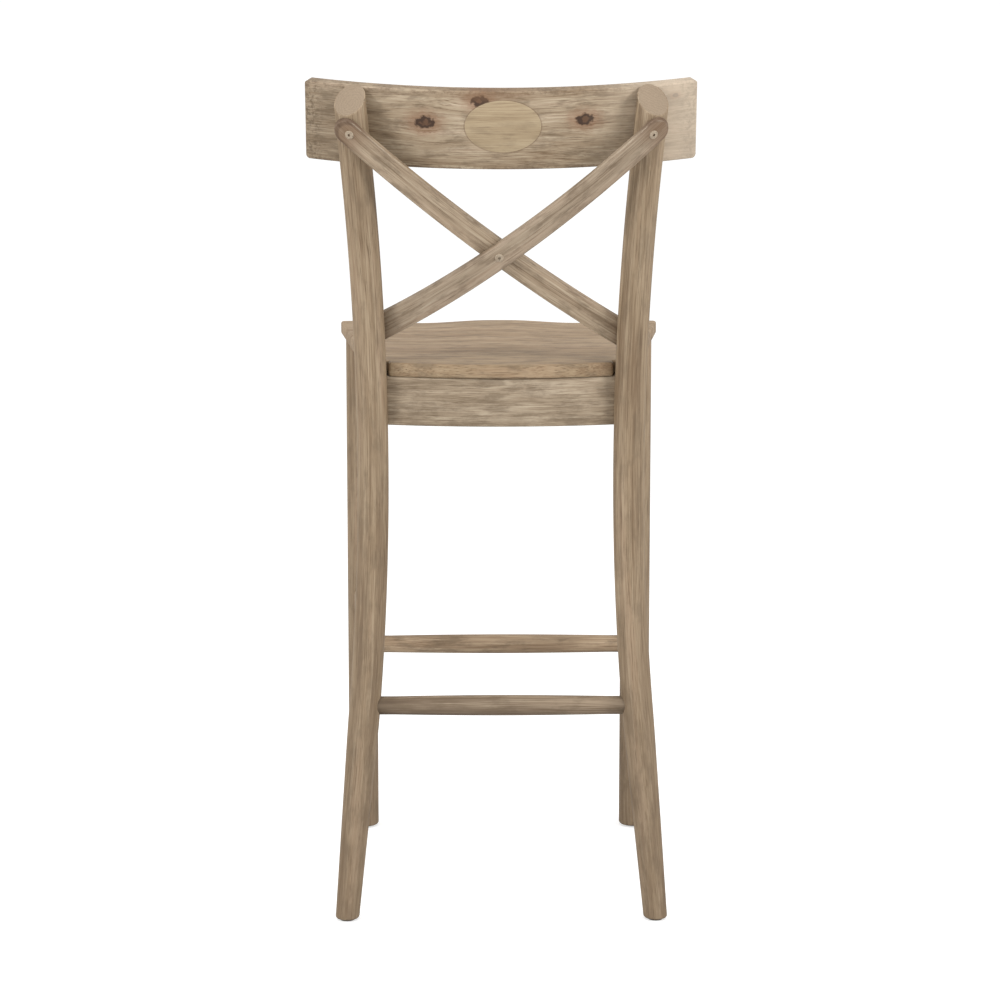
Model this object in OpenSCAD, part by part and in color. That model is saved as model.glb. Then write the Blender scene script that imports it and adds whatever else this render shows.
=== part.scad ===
// Bar stool with a curved cross back and a footrest rail, solid wood.
// The seat front faces -Y, +X is the sitter's left, Z is up, and the floor is Z = 0.

/* [Overall] */
// Height of the seat top above the floor
seat_height = 751.5; // [700:0.5:780]
// Height of the glides under the feet
glide_height = 2; // [1:0.5:4]
// Clearance left around tenons and pins in their holes
fit_gap = 0.15; // [0.05:0.05:0.3]

/* [Rear legs] */
// Diameter of a rear leg above its taper
rear_leg_d = 42.4; // [36:0.2:46]
// Diameter of a rear leg at the floor
rear_foot_d = 32; // [28:0.5:38]
// Distance of the rear leg from the middle plane where it stands plumb
post_x = 173.2; // [165:0.2:182]
// Distance of the plumb part of the rear leg behind the middle of the stool
post_y = 156; // [150:0.5:162]
// Height at which the rear leg stands plumb, between its two bends
bend_height = 600; // [580:5:620]
// Radius of the bend below the plumb point
lower_bend_r = 1545; // [1500:1:1620]
// Lean of the straight foot of the rear leg, in degrees
lower_lean = 12.9; // [12:0.01:13.5]
// Radius of the bend above the plumb point
upper_bend_r = 1845; // [1780:1:1900]
// Lean of the straight top of the rear leg, in degrees
upper_lean = 12.87; // [12:0.01:13.5]
// Turn of the bending plane out from straight back, in degrees
leg_turn = 22; // [20:0.5:24]
// Slope of the end cut on top of the rear leg, in degrees
top_cut_slope = 49.5; // [44:0.5:52]
// Height of the rear lip of that end cut
top_cut_z = 1089.5; // [1086:0.5:1094]

/* [Front legs] */
// Diameter of a front leg
front_leg_d = 43; // [38:0.5:46]
// Distance of the front leg from the middle plane
front_leg_x = 200; // [192:0.5:204]
// Place of the front leg along Y
front_leg_y = -222.75; // [-226:0.25:-216]
// Rounding at the foot of a front leg
front_foot_round = 4; // [2:0.5:6]

/* [Crest rail] */
// Half of the rail's width
rail_half = 260; // [250:1:270]
// Height of the rail along its slope
rail_h = 106.5; // [100:0.5:112]
// Thickness of the rail
rail_t = 22; // [20:0.5:24]
// Radius of the rail's rear face
rail_r = 680; // [640:5:720]
// Lean of the rail, in degrees
rail_lean = 12; // [11:0.25:13]
// Height of the rail's lower rear edge at the middle
rail_z = 1016.3; // [1012:0.1:1020]
// Place of that edge along Y
rail_y = 211.8; // [208:0.1:215]
// Rounding of the rail's long edges
rail_edge_round = 2.5; // [1:0.5:4]
// Length of the oval patch let into the rear face
patch_l = 101; // [90:1:110]
// Height of the oval patch
patch_h = 71; // [60:1:74]
// Thickness of the oval patch
patch_t = 3; // [2:0.5:5]

/* [Cross slats] */
// Width of a slat
slat_w = 33.5; // [30:0.5:38]
// Thickness of a slat
slat_t = 10; // [8:0.5:10]
// Upper fixing point on a slat's rear face
slat_top = [199, 240.5, 1065];
// Lower fixing point on the outer slat's rear face
outer_foot = [171, 143.2, 791.5];
// Lower fixing point on the inner slat's rear face
inner_foot = [171, 142.3, 782.5];
// Distance of the screw where the slats cross from the middle plane
cross_x = 2.6; // [0:0.1:5]
// Bow radius of the outer slat, which lies behind the other
outer_bow_r = 450; // [445:1:455]
// Bow radius of the inner slat
inner_bow_r = 620.5; // [615:0.5:630]
// Distance from a fixing point to the middle of the slat's round end
slat_end_run = 4; // [2:0.5:6]

/* [Seat] */
// Thickness of the seat boards
seat_t = 19; // [17:0.5:22]
// Half of the seat's width at its front corners
seat_front_half = 230; // [225:1:235]
// Half of the seat's width where its sides reach the rear legs
seat_side_half = 181; // [176:1:184]
// Half of the seat's width between the rear legs
seat_rear_half = 151.5; // [149:0.5:152]
// Place of the seat's front corners along Y
seat_front_y = -253.75; // [-256:0.25:-250]
// Forward bow of the seat's front edge
seat_front_bow = 8; // [4:1:12]
// Place of the seat's notches for the rear legs along Y
seat_notch_y = 136.5; // [134:0.5:138]
// Place of the middle of the seat's rear edge along Y
seat_rear_y = 179.3; // [176:0.1:182]
// Rearward bow of the seat's rear edge
seat_rear_bow = 22; // [16:1:26]
// Joints between the seat boards along Y
board_joints = [-176, -92, -10, 72];
// Depth of the two scoops at the seat's front edge
scoop_depth = 4; // [2:0.5:5]
// Radius of the scoops
scoop_r = 1000; // [900:10:1400]
// Distance of each scoop from the middle plane
scoop_x = 112; // [100:1:120]

/* [Aprons] */
// Height of the aprons
apron_h = 66.5; // [60:0.5:70]
// Thickness of the front and rear aprons
apron_t = 20; // [18:0.5:22]
// Thickness of the side aprons
side_apron_t = 18; // [16:0.5:20]
// Place of the middle of the rear apron's rear face along Y
rear_apron_y = 173.3; // [170:0.1:176]
// Distance of a side apron from the middle plane at its front end
side_apron_front_x = 194; // [190:0.5:196]
// Distance of a side apron from the middle plane at its rear end
side_apron_rear_x = 172; // [170:0.5:174]
// Thickness of the apron tenons
tenon_t = 8; // [6:0.5:9]
// Height of the apron tenons
tenon_h = 46; // [36:1:50]
// Thickness of a corner block across the corner
block_t = 20; // [16:1:24]
// Height of a corner block
block_h = 40; // [30:1:44]

/* [Footrest and stretchers] */
// Diameter of a stretcher at its middle
stretcher_mid_d = 28; // [26:0.5:31]
// Diameter of a stretcher's ends
stretcher_end_d = 25; // [22:0.5:25.5]
// Depth of the sockets for the stretchers, from the leg's middle line
socket_stop = 6; // [4:0.5:8]
// Height of the footrest's middle line
footrest_z = 275.5; // [265:0.5:285]
// Height of the rear stretcher's middle line
rear_stretcher_z = 284; // [275:0.5:292]
// Height of the side stretchers' middle lines
side_stretcher_z = 353; // [345:0.5:360]

/* [Fasteners] */
// Diameter of a slat screw's head
screw_head_d = 12; // [10:0.5:13]
// Height of a slat screw's head
screw_head_h = 2.6; // [2:0.1:3.5]
// Depth to which a slat screw's head is let in
screw_sink = 1.4; // [1:0.1:2]
// Diameter of a slat screw's shank
screw_d = 5; // [4:0.5:6]
// Diameter of the driver recess in a slat screw's head
recess_d = 4; // [3:0.5:5]
// Diameter of the dowels between rail and posts
dowel_d = 8; // [6:0.5:10]
// Diameter of the corner bolts
bolt_d = 6; // [5:0.5:8]
// Diameter of the seat screws
seat_screw_d = 4.5; // [4:0.5:5]
// Diameter of a foot glide
glide_d = 20; // [16:1:24]

/* [Hidden] */

round_fn = 96;       // circles of pins, legs and tenons
arc_fn = 1440;       // long shallow arcs
bow_fn = 360;        // the bends of rail, slats and legs
far = 400;           // reach of cutters past the work
swell_steps = 12;    // straight stretches that make up a stretcher's swell

oak = [0.66, 0.59, 0.50];
pale_oak = [0.72, 0.65, 0.56];
dark_oak = [0.58, 0.50, 0.41];
steel = [0.62, 0.62, 0.60];
nylon = [0.30, 0.28, 0.26];

seat_bottom = seat_height - seat_t;
apron_bottom = seat_bottom - apron_h;
tenon_z = seat_bottom - apron_h / 2 - tenon_h / 2;
rear_r = rear_leg_d / 2;
front_r = front_leg_d / 2;
end_r = stretcher_end_d / 2;

// Sideways run of a bend of radius r, at a height h from its plumb end,
// which goes on as a straight line once it leans by the angle lean.
function bend_run(h, r, lean) =
    h < r * sin(lean)
        ? r - sqrt(r * r - h * h)
        : r * (1 - cos(lean)) + (h - r * sin(lean)) * tan(lean);

// How far the rear leg's middle line stands out from its plumb point.
function leg_run(z) =
    z < bend_height
        ? bend_run(bend_height - z, lower_bend_r, lower_lean)
        : bend_run(z - bend_height, upper_bend_r, upper_lean);

// Middle line of the left rear leg, seen from above.
function leg_at(z) = [
    post_x + leg_run(z) * sin(leg_turn),
    post_y + leg_run(z) * cos(leg_turn)
];

// Depth of a bow of radius r over the half chord x.
function sag(r, x) = r - sqrt(r * r - x * x);

// Puts the children on the left, or mirrors them to the right.
module on_side(side) {
    if (side > 0) children();
    else mirror([1, 0, 0]) children();
}

// ---- rear legs ----

turn_lap = 0.1;      // lap of the straight ends over the bends
turn_step = 0.05;    // by which the straight ends are stouter than the bends
top_stock = 150;     // straight length above the upper bend, before its end cut

// The bent round rod of a leg, in its own plane: X is the way it leans.
module leg_rod() {
    low_x = lower_bend_r * (1 - cos(lower_lean));
    low_z = bend_height - lower_bend_r * sin(lower_lean);
    high_x = upper_bend_r * (1 - cos(upper_lean));
    high_z = bend_height + upper_bend_r * sin(upper_lean);
    translate([lower_bend_r, 0, bend_height]) rotate([0, 180, 0]) rotate([90, 0, 0])
        rotate_extrude(angle = lower_lean, $fn = bow_fn * 4)
            translate([lower_bend_r, 0]) circle(r = rear_r, $fn = round_fn);
    translate([upper_bend_r, 0, bend_height]) rotate([0, 0, 180]) rotate([90, 0, 0])
        rotate_extrude(angle = upper_lean, $fn = bow_fn * 4)
            translate([upper_bend_r, 0]) circle(r = rear_r, $fn = round_fn);
    foot_l = low_z / cos(lower_lean);
    translate([low_x, 0, low_z]) rotate([0, 180 - lower_lean, 0]) translate([0, 0, -turn_lap])
        cylinder(h = foot_l, r1 = rear_r + turn_step, r2 = rear_foot_d / 2, $fn = round_fn);
    translate([high_x, 0, high_z]) rotate([0, upper_lean, 0]) translate([0, 0, -turn_lap])
        cylinder(h = top_stock, r = rear_r + turn_step, $fn = round_fn);
}

// Everything above the slanted end cut of a leg, in the leg's own plane.
module top_cut() {
    lip_x = leg_run(top_cut_z) + rear_r;
    translate([lip_x, 0, top_cut_z]) rotate([0, top_cut_slope, 0])
        translate([-far / 2, -far / 2, 0]) cube([far, far, far]);
}

module rear_leg(side) {
    color(oak) difference() {
        translate([post_x, post_y, 0]) rotate([0, 0, 90 - leg_turn]) difference() {
            leg_rod();
            top_cut();
            translate([0, -far / 2, glide_height - far]) cube([far, far, far]);
        }
        rail_seat();
        slat(outer_bow_r, -side);
        slat(inner_bow_r, side);
        stretcher_sockets();
        apron_tenons(fit_gap);
        rail_dowel_pins(fit_gap);
        slat_screw_holes(side);
        corner_bolt_pins(fit_gap);
    }
}

// ---- front legs ----

module front_leg() {
    body_r = front_r - front_foot_round;
    color(oak) difference() {
        translate([front_leg_x, front_leg_y, glide_height]) rotate_extrude($fn = round_fn) {
            translate([0, front_foot_round])
                square([front_r, seat_bottom - glide_height - front_foot_round]);
            square([body_r, front_foot_round + 1]);
            intersection() {
                translate([body_r, front_foot_round])
                    circle(r = front_foot_round, $fn = round_fn);
                square([front_r, front_foot_round + 1]);
            }
        }
        stretcher_sockets();
        apron_tenons(fit_gap);
        corner_bolt_pins(fit_gap);
    }
}

// ---- seat ----

module seat_outline() {
    front_r_bow = (pow(seat_front_half, 2) + pow(seat_front_bow, 2)) / (2 * seat_front_bow);
    rear_r_bow = (pow(seat_rear_half, 2) + pow(seat_rear_bow, 2)) / (2 * seat_rear_bow);
    front_y = seat_front_y - seat_front_bow;
    intersection() {
        polygon([
            [-seat_front_half, front_y], [-seat_front_half, seat_front_y],
            [-seat_side_half, seat_notch_y], [-seat_rear_half, seat_notch_y],
            [-seat_rear_half, seat_rear_y], [seat_rear_half, seat_rear_y],
            [seat_rear_half, seat_notch_y], [seat_side_half, seat_notch_y],
            [seat_front_half, seat_front_y], [seat_front_half, front_y]
        ]);
        translate([0, front_y + front_r_bow]) circle(r = front_r_bow, $fn = arc_fn);
        translate([0, seat_rear_y - rear_r_bow]) circle(r = rear_r_bow, $fn = arc_fn);
    }
}

// A long shallow trough, the underside of a slender cone, that runs out towards the back.
module scoop(side) {
    start = seat_front_y - seat_front_bow - 1;
    run = seat_notch_y - start;
    translate([side * scoop_x, start, seat_height + scoop_r - scoop_depth]) rotate([-90, 0, 0])
        cylinder(h = run, r1 = scoop_r, r2 = scoop_r - scoop_depth, $fn = arc_fn);
}

module seat_board(i) {
    lines = concat([seat_front_y - far], board_joints, [seat_rear_y + far]);
    color(i % 2 == 0 ? oak : pale_oak) difference() {
        intersection() {
            translate([0, 0, seat_bottom]) linear_extrude(height = seat_t) seat_outline();
            translate([-far, lines[i], seat_bottom - 1])
                cube([2 * far, lines[i + 1] - lines[i], seat_t + 2]);
        }
        for (side = [-1, 1]) scoop(side);
        seat_screw_pins(fit_gap);
    }
}

// ---- aprons ----

// A stretch of a vertical bowed board: rear face of radius r through y, ending at half.
module bowed_board(r, t, y, half, z, h) {
    swing = asin(half / r);
    translate([0, y - r, z]) rotate([0, 0, 90 - swing])
        rotate_extrude(angle = 2 * swing, $fn = bow_fn * 4)
            translate([r - t, 0]) square([t, h]);
}

// A straight board standing between two points in plan, centred on their line.
module straight_board(a, b, t, z, h) {
    run = norm(b - a);
    translate([a[0], a[1], z]) rotate([0, 0, atan2(b[1] - a[1], b[0] - a[0])])
        translate([0, -t / 2, 0]) cube([run, t, h]);
}

// Point of a side apron's middle line at a place along Y.
function side_line(y) = [
    side_apron_front_x + (side_apron_rear_x - side_apron_front_x)
        * (y - front_leg_y) / (leg_at(seat_bottom)[1] - front_leg_y),
    y
];

side_front_y = front_leg_y + front_r - 1;
side_rear_y = leg_at(tenon_z)[1] - rear_r + 1;
side_tenon_l = 11;        // reach of a side apron's tenons into the legs
front_tenon_stop = 9;     // from a front leg's middle line to the front apron's tenon
rear_apron_half = 168;
rear_tenon_half = 165.5;
side_apron_stop = 8;      // from a leg's middle line to the end of a side apron's board
cope_reach = 20;          // by which a cope runs past the apron above and below
rear_cope_gap = 0.4;
front_cope_gap = 0.2;

// The tenons of the four aprons, larger by gap all round, as the legs' mortises need.
module apron_tenons(gap) {
    z = tenon_z - gap;
    h = tenon_h + 2 * gap;
    t = tenon_t + 2 * gap;
    bowed_board(rail_r - (apron_t - tenon_t) / 2 + gap, t,
        rear_apron_y - (apron_t - tenon_t) / 2 + gap, rear_tenon_half + gap, z, h);
    front_half = front_leg_x - front_tenon_stop + gap;
    straight_board([-front_half, front_leg_y], [front_half, front_leg_y], t, z, h);
    for (side = [1, -1]) on_side(side)
        straight_board(side_line(side_front_y - side_tenon_l - gap),
            side_line(side_rear_y + side_tenon_l + gap), t, z, h);
}

module rear_apron() {
    color(dark_oak) difference() {
        union() {
            difference() {
                bowed_board(rail_r, apron_t, rear_apron_y, rear_apron_half,
                    apron_bottom, apron_h);
                for (side = [1, -1]) on_side(side) post_cope();
            }
            bowed_board(rail_r - (apron_t - tenon_t) / 2, tenon_t,
                rear_apron_y - (apron_t - tenon_t) / 2, rear_tenon_half, tenon_z, tenon_h);
        }
        corner_bolt_pins(fit_gap);
    }
}

// The round hollow that the rear apron's ends need against a rear leg.
module post_cope() {
    low = leg_at(apron_bottom);
    high = leg_at(seat_bottom);
    lean = atan(norm(high - low) / apron_h);
    translate([low[0], low[1], apron_bottom]) rotate([0, 0, 90 - leg_turn])
        rotate([0, lean, 0]) translate([0, 0, -cope_reach])
            cylinder(h = apron_h + 2 * cope_reach, r = rear_r + rear_cope_gap, $fn = round_fn);
}

module front_apron() {
    tenon_half = front_leg_x - front_tenon_stop;
    color(dark_oak) difference() {
        union() {
            difference() {
                straight_board([-front_leg_x, front_leg_y], [front_leg_x, front_leg_y],
                    apron_t, apron_bottom, apron_h);
                for (side = [1, -1]) translate([side * front_leg_x, front_leg_y, apron_bottom - 1])
                    cylinder(h = apron_h + 2, r = front_r + front_cope_gap, $fn = round_fn);
            }
            straight_board([-tenon_half, front_leg_y], [tenon_half, front_leg_y],
                tenon_t, tenon_z, tenon_h);
        }
        corner_bolt_pins(fit_gap);
    }
}

module side_apron() {
    color(dark_oak) difference() {
        union() {
            difference() {
                straight_board(side_line(front_leg_y + side_apron_stop),
                    side_line(leg_at(seat_bottom)[1] - side_apron_stop),
                    side_apron_t, apron_bottom, apron_h);
                post_cope();
                translate([front_leg_x, front_leg_y, apron_bottom - 1])
                    cylinder(h = apron_h + 2, r = front_r + front_cope_gap, $fn = round_fn);
            }
            straight_board(side_line(side_front_y - side_tenon_l),
                side_line(side_rear_y + side_tenon_l), tenon_t, tenon_z, tenon_h);
        }
        corner_bolt_pins(fit_gap);
    }
}

// ---- corner blocks ----

// The space inside the aprons, seen from above.
module inside_outline() {
    inner_r = rail_r - apron_t;
    front_in = front_leg_y + apron_t / 2;
    splay = atan((side_line(0)[0] - side_line(far)[0]) / far);
    x_front = side_line(front_in)[0] - side_apron_t / 2 / cos(splay);
    x_rear = side_line(rear_apron_y)[0] - side_apron_t / 2 / cos(splay);
    intersection() {
        polygon([
            [-x_front, front_in], [x_front, front_in],
            [x_rear, rear_apron_y], [-x_rear, rear_apron_y]
        ]);
        translate([0, rear_apron_y - rail_r]) circle(r = inner_r, $fn = arc_fn);
    }
}

// Corner on the left: the leg that the block braces, and the way its bolt points.
front_corner = [front_leg_x, front_leg_y];
rear_corner = leg_at(seat_bottom - block_h / 2);
front_way = 135;
rear_way = 222;
front_block_run = 34;
rear_block_run = 40;
bolt_stop = 8;            // from a leg's middle line to the tip of its corner bolt
bolt_head_h = 4;
seat_screw_bite = 11;     // depth of a seat screw in the seat
seat_screw_head_h = 3;
seat_screw_aside = 14;    // from a corner bolt to the seat screw beside it

module corner_block(corner, way, run) {
    color(pale_oak) difference() {
        translate([0, 0, seat_bottom - block_h]) linear_extrude(height = block_h) intersection() {
            inside_outline();
            translate(corner) rotate(way) translate([run, -far / 4]) square([block_t, far / 2]);
        }
        corner_bolt_pins(fit_gap);
        seat_screw_pins(fit_gap);
    }
}

// One bolt through a block into its leg, with its head on the block's inner face.
module corner_bolt(corner, way, run, gap) {
    translate([corner[0], corner[1], seat_bottom - block_h / 2]) rotate([0, 0, way])
        rotate([0, 90, 0]) {
            translate([0, 0, bolt_stop - gap])
                cylinder(h = run + block_t - bolt_stop + gap, d = bolt_d + 2 * gap, $fn = round_fn);
            translate([0, 0, run + block_t])
                cylinder(h = bolt_head_h, d = 2 * bolt_d, $fn = round_fn);
        }
}

module corner_bolt_pins(gap) {
    for (side = [1, -1]) on_side(side) {
        corner_bolt(front_corner, front_way, front_block_run, gap);
        corner_bolt(rear_corner, rear_way, rear_block_run, gap);
    }
}

// One screw up through a block into the seat, beside the bolt.
module seat_screw(corner, way, run, gap) {
    spot = corner + (run + block_t / 2) * [cos(way), sin(way)]
        + seat_screw_aside * [-sin(way), cos(way)];
    translate([spot[0], spot[1], seat_bottom - block_h]) {
        translate([0, 0, -gap])
            cylinder(h = block_h + seat_screw_bite + 2 * gap, d = seat_screw_d + 2 * gap, $fn = round_fn);
        translate([0, 0, -seat_screw_head_h])
            cylinder(h = seat_screw_head_h, d = 2 * seat_screw_d, $fn = round_fn);
    }
}

module seat_screw_pins(gap) {
    for (side = [1, -1]) on_side(side) {
        seat_screw(front_corner, front_way, front_block_run, gap);
        seat_screw(rear_corner, rear_way, rear_block_run, gap);
    }
}

module corner_bolts() { color(steel) corner_bolt_pins(0); }
module seat_screws() { color(steel) seat_screw_pins(0); }

// ---- footrest and stretchers ----

// A round bar between two points, swollen at its middle, with straight plug ends.
module swelled_bar(a, b) {
    run = norm(b - a);
    body = run - 2 * plug_l;
    swell = (stretcher_mid_d - stretcher_end_d) / 2;
    translate(a) rotate([0, 0, atan2(b[1] - a[1], b[0] - a[0])]) rotate([0, 90, 0])
        rotate_extrude($fn = round_fn) polygon(concat(
            [[0, 0], [end_r, 0]],
            [for (i = [0 : swell_steps])
                let (t = i / swell_steps) [end_r + swell * sin(180 * t), plug_l + body * t]],
            [[end_r, run], [0, run]]
        ));
}

plug_l = 34;
socket_l = 30;            // enough for a socket to reach out of its leg
rear_end = leg_at(rear_stretcher_z);
side_rear_end = leg_at(side_stretcher_z);
side_way = [side_rear_end[0] - front_leg_x, side_rear_end[1] - front_leg_y]
    / norm([side_rear_end[0] - front_leg_x, side_rear_end[1] - front_leg_y]);
side_from = [front_leg_x, front_leg_y] + socket_stop * side_way;
side_to = side_rear_end - socket_stop * side_way;

module front_bar(stop) {
    x = front_leg_x - stop;
    swelled_bar([-x, front_leg_y, footrest_z], [x, front_leg_y, footrest_z]);
}

module rear_bar(stop) {
    x = rear_end[0] - stop;
    swelled_bar([-x, rear_end[1], rear_stretcher_z], [x, rear_end[1], rear_stretcher_z]);
}

module side_bar() {
    swelled_bar([side_from[0], side_from[1], side_stretcher_z],
        [side_to[0], side_to[1], side_stretcher_z]);
}

// The holes in a left leg that take the ends of its stretchers.
module socket(a, b) {
    way = (b - a) / norm(b - a);
    start = a - fit_gap * way;
    translate(start) rotate([0, 0, atan2(way[1], way[0])]) rotate([0, 90, 0])
        cylinder(h = socket_l, r = end_r + fit_gap, $fn = round_fn);
}

module stretcher_sockets() {
    fx = front_leg_x - socket_stop;
    rx = rear_end[0] - socket_stop;
    from = [side_from[0], side_from[1], side_stretcher_z];
    to = [side_to[0], side_to[1], side_stretcher_z];
    socket([fx, front_leg_y, footrest_z], [-fx, front_leg_y, footrest_z]);
    socket([rx, rear_end[1], rear_stretcher_z], [-rx, rear_end[1], rear_stretcher_z]);
    socket(from, to);
    socket(to, from);
}

module footrest() { color(oak) front_bar(socket_stop); }
module rear_stretcher() { color(dark_oak) rear_bar(socket_stop); }
module side_stretcher() { color(oak) side_bar(); }

// ---- crest rail ----

// Moves the children to the rail: X across, Y out of the rear face, Z up its slope.
module at_rail() {
    translate([0, rail_y, rail_z]) rotate([-rail_lean, 0, 0]) children();
}

// A rectangle with rounded corners.
module soft_rect(w, h, r) {
    translate([r, 0]) square([w - 2 * r, h]);
    translate([0, r]) square([w, h - 2 * r]);
    for (x = [r, w - r], y = [r, h - r]) translate([x, y]) circle(r = r, $fn = round_fn);
}

module rail_bend(half) {
    swing = asin(half / rail_r);
    translate([0, -rail_r, 0]) rotate([0, 0, 90 - swing])
        rotate_extrude(angle = 2 * swing, $fn = bow_fn * 4) children();
}

seat_cut = 60;            // reach of the cut for the rail, forward and upward
seat_cut_short = 10;      // by which that cut stops short of the rail's ends

// The space that the rail and the air in front of it take out of the posts.
module rail_seat() {
    at_rail() rail_bend(rail_half - seat_cut_short)
        translate([rail_r - seat_cut, 0]) square([seat_cut, rail_h + seat_cut]);
}

module oval(l, h) {
    polygon([for (a = [0 : 7.5 : 352.5]) [l / 2 * cos(a), h / 2 * sin(a)]]);
}

patch_x = -2;
patch_gap = 0.1;          // clearance round the patch
patch_z = rail_h * 0.556;
patch_reach = 20;

module patch_prism(gap) {
    translate([patch_x, patch_reach, patch_z]) rotate([90, 0, 0])
        linear_extrude(height = 2 * patch_reach) oval(patch_l + 2 * gap, patch_h + 2 * gap);
}

module crest_rail() {
    color(pale_oak) difference() {
        at_rail() difference() {
            rail_bend(rail_half)
                translate([rail_r - rail_t, 0]) soft_rect(rail_t, rail_h, rail_edge_round);
            intersection() {
                rail_bend(patch_l) translate([rail_r - patch_t, 0]) square([2 * patch_t, rail_h]);
                patch_prism(patch_gap);
            }
        }
        rail_dowel_pins(fit_gap);
    }
}

module rail_oval_patch() {
    color(oak) at_rail() intersection() {
        rail_bend(patch_l) translate([rail_r - patch_t, 0]) square([patch_t, rail_h]);
        patch_prism(0);
    }
}

dowel_heights = [28, 78]; // up the rail's slope
dowel_l = 30;
dowel_bite = 14;          // depth of a dowel in the rail
dowel_inset = 6;          // from a post's middle line inwards

// Turn about the rail's centre to the dowels at a height up the slope.
function dowel_turn(z) =
    asin((leg_at(rail_z + z)[0] - dowel_inset) / rail_r);

// Two dowels from each post into the rail, square to the rail's rear face.
module rail_dowel_pins(gap) {
    for (side = [1, -1], z = dowel_heights) at_rail() translate([0, -rail_r, z])
        rotate([0, 0, -side * dowel_turn(z)])
            translate([0, rail_r - dowel_bite - gap, 0]) rotate([-90, 0, 0])
                cylinder(h = dowel_l + 2 * gap, d = dowel_d + 2 * gap, $fn = round_fn);
}

module rail_dowels() { color(pale_oak) rail_dowel_pins(0); }

// ---- cross slats ----

// A slat lies on a cylinder of radius r that passes through both of its fixing points.
function foot_of(r) = r == outer_bow_r ? outer_foot : inner_foot;
function slat_drop(r) = sag(r, slat_top[0]) - sag(r, foot_of(r)[0]);
function slat_lean(r) =
    let (rise = slat_top - foot_of(r))
    atan2(rise[1], rise[2]) + asin(slat_drop(r) / norm([rise[1], rise[2]]));

// Height along the slope and depth of a point, measured from the stool's origin.
function slope_z(p, a) = p[1] * sin(a) + p[2] * cos(a);
function slope_y(p, a) = p[1] * cos(a) - p[2] * sin(a);

// Moves the children to a slat's cylinder: Y = 0 is its rear face at the middle plane.
module at_slat(r) {
    a = slat_lean(r);
    depth = slope_y(slat_top, a) + sag(r, slat_top[0]);
    rotate([-a, 0, 0]) translate([0, depth, 0]) children();
}

slat_swing = 60;          // turn of the bow that a slat is cut from
slat_from = 600;          // and its reach up the slope
slat_to = 1300;
slat_cut = 100;           // reach of the outline's cutter through the bow

// Slat whose upper end is on the given side: 1 is left, -1 is right.
module slat(r, side) {
    a = slat_lean(r);
    top = [side * slat_top[0], slope_z(slat_top, a)];
    foot = [-side * foot_of(r)[0], slope_z(foot_of(r), a)];
    way = (top - foot) / norm(top - foot);
    turn = atan2(way[1], way[0]);
    at_slat(r) intersection() {
        translate([0, -r, 0]) rotate([0, 0, 90 - slat_swing / 2])
            rotate_extrude(angle = slat_swing, $fn = bow_fn * 4)
                translate([r - slat_t, slat_from]) square([slat_t, slat_to - slat_from]);
        rotate([90, 0, 0]) translate([0, 0, -slat_cut]) linear_extrude(height = 2 * slat_cut) {
            translate(foot - slat_end_run * way) rotate(turn)
                translate([0, -slat_w / 2]) square([norm(top - foot) + 2 * slat_end_run, slat_w]);
            translate(foot - slat_end_run * way) circle(d = slat_w, $fn = round_fn);
            translate(top + slat_end_run * way) circle(d = slat_w, $fn = round_fn);
        }
    }
}

// Moves the children to a point of a slat's rear face: Z points out of the face.
module at_slat_face(r, x, z) {
    at_slat(r) translate([0, -r, z]) rotate([0, 0, -asin(x / r)]) translate([0, r, 0])
        rotate([-90, 0, 0]) children();
}

recess_depth = 1.6;
hole_reach = 20;          // by which a screw's hole clears the way for its head

// A domed screw whose head sits in the face Z = 0 and whose shank runs down.
module dome_screw(shank) {
    difference() {
        union() {
            translate([0, 0, -screw_sink])
                cylinder(h = screw_head_h, d = screw_head_d, $fn = round_fn);
            translate([0, 0, -shank]) cylinder(h = shank, d = screw_d, $fn = round_fn);
        }
        translate([0, 0, screw_head_h - screw_sink - recess_depth])
            cylinder(h = 2 * recess_depth, d = recess_d, $fn = round_fn);
    }
}

// The hole that such a screw needs.
module screw_hole(shank) {
    translate([0, 0, -screw_sink - fit_gap])
        cylinder(h = hole_reach, d = screw_head_d + 2 * fit_gap, $fn = round_fn);
    translate([0, 0, -shank - fit_gap])
        cylinder(h = shank, d = screw_d + 2 * fit_gap, $fn = round_fn);
}

top_shank = 34;
foot_shank = 30;
cross_shank = 20;

// Height up the outer slat's slope at which the two slats cross.
function crossing_z() =
    let (a = slat_lean(outer_bow_r), t = (slat_top[0] + cross_x) / (slat_top[0] + outer_foot[0]))
    slope_z(slat_top, a) * (1 - t) + slope_z(outer_foot, a) * t;

// Screws run through the slats' faces at the top, from behind.
module at_top_screw(r, side) {
    at_slat_face(r, side * slat_top[0], slope_z(slat_top, slat_lean(r))) children();
}

// At the feet they come from the front, out of the slat's inner face.
module at_foot_screw(r, side) {
    at_slat_face(r, -side * foot_of(r)[0], slope_z(foot_of(r), slat_lean(r)))
        translate([0, 0, -slat_t]) rotate([180, 0, 0]) children();
}

module at_cross_screw() {
    at_slat_face(outer_bow_r, cross_x, crossing_z()) children();
}

// The holes that the slats' end screws make in the posts, for a post built on the left.
module slat_screw_holes(side) {
    at_top_screw(outer_bow_r, -side) screw_hole(top_shank);
    at_top_screw(inner_bow_r, side) screw_hole(top_shank);
    at_foot_screw(outer_bow_r, -side) screw_hole(foot_shank);
    at_foot_screw(inner_bow_r, side) screw_hole(foot_shank);
}

module cross_slat_outer() {
    color(pale_oak) difference() {
        slat(outer_bow_r, -1);
        at_top_screw(outer_bow_r, -1) screw_hole(top_shank);
        at_foot_screw(outer_bow_r, -1) screw_hole(foot_shank);
        at_cross_screw() screw_hole(cross_shank);
    }
}

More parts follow.
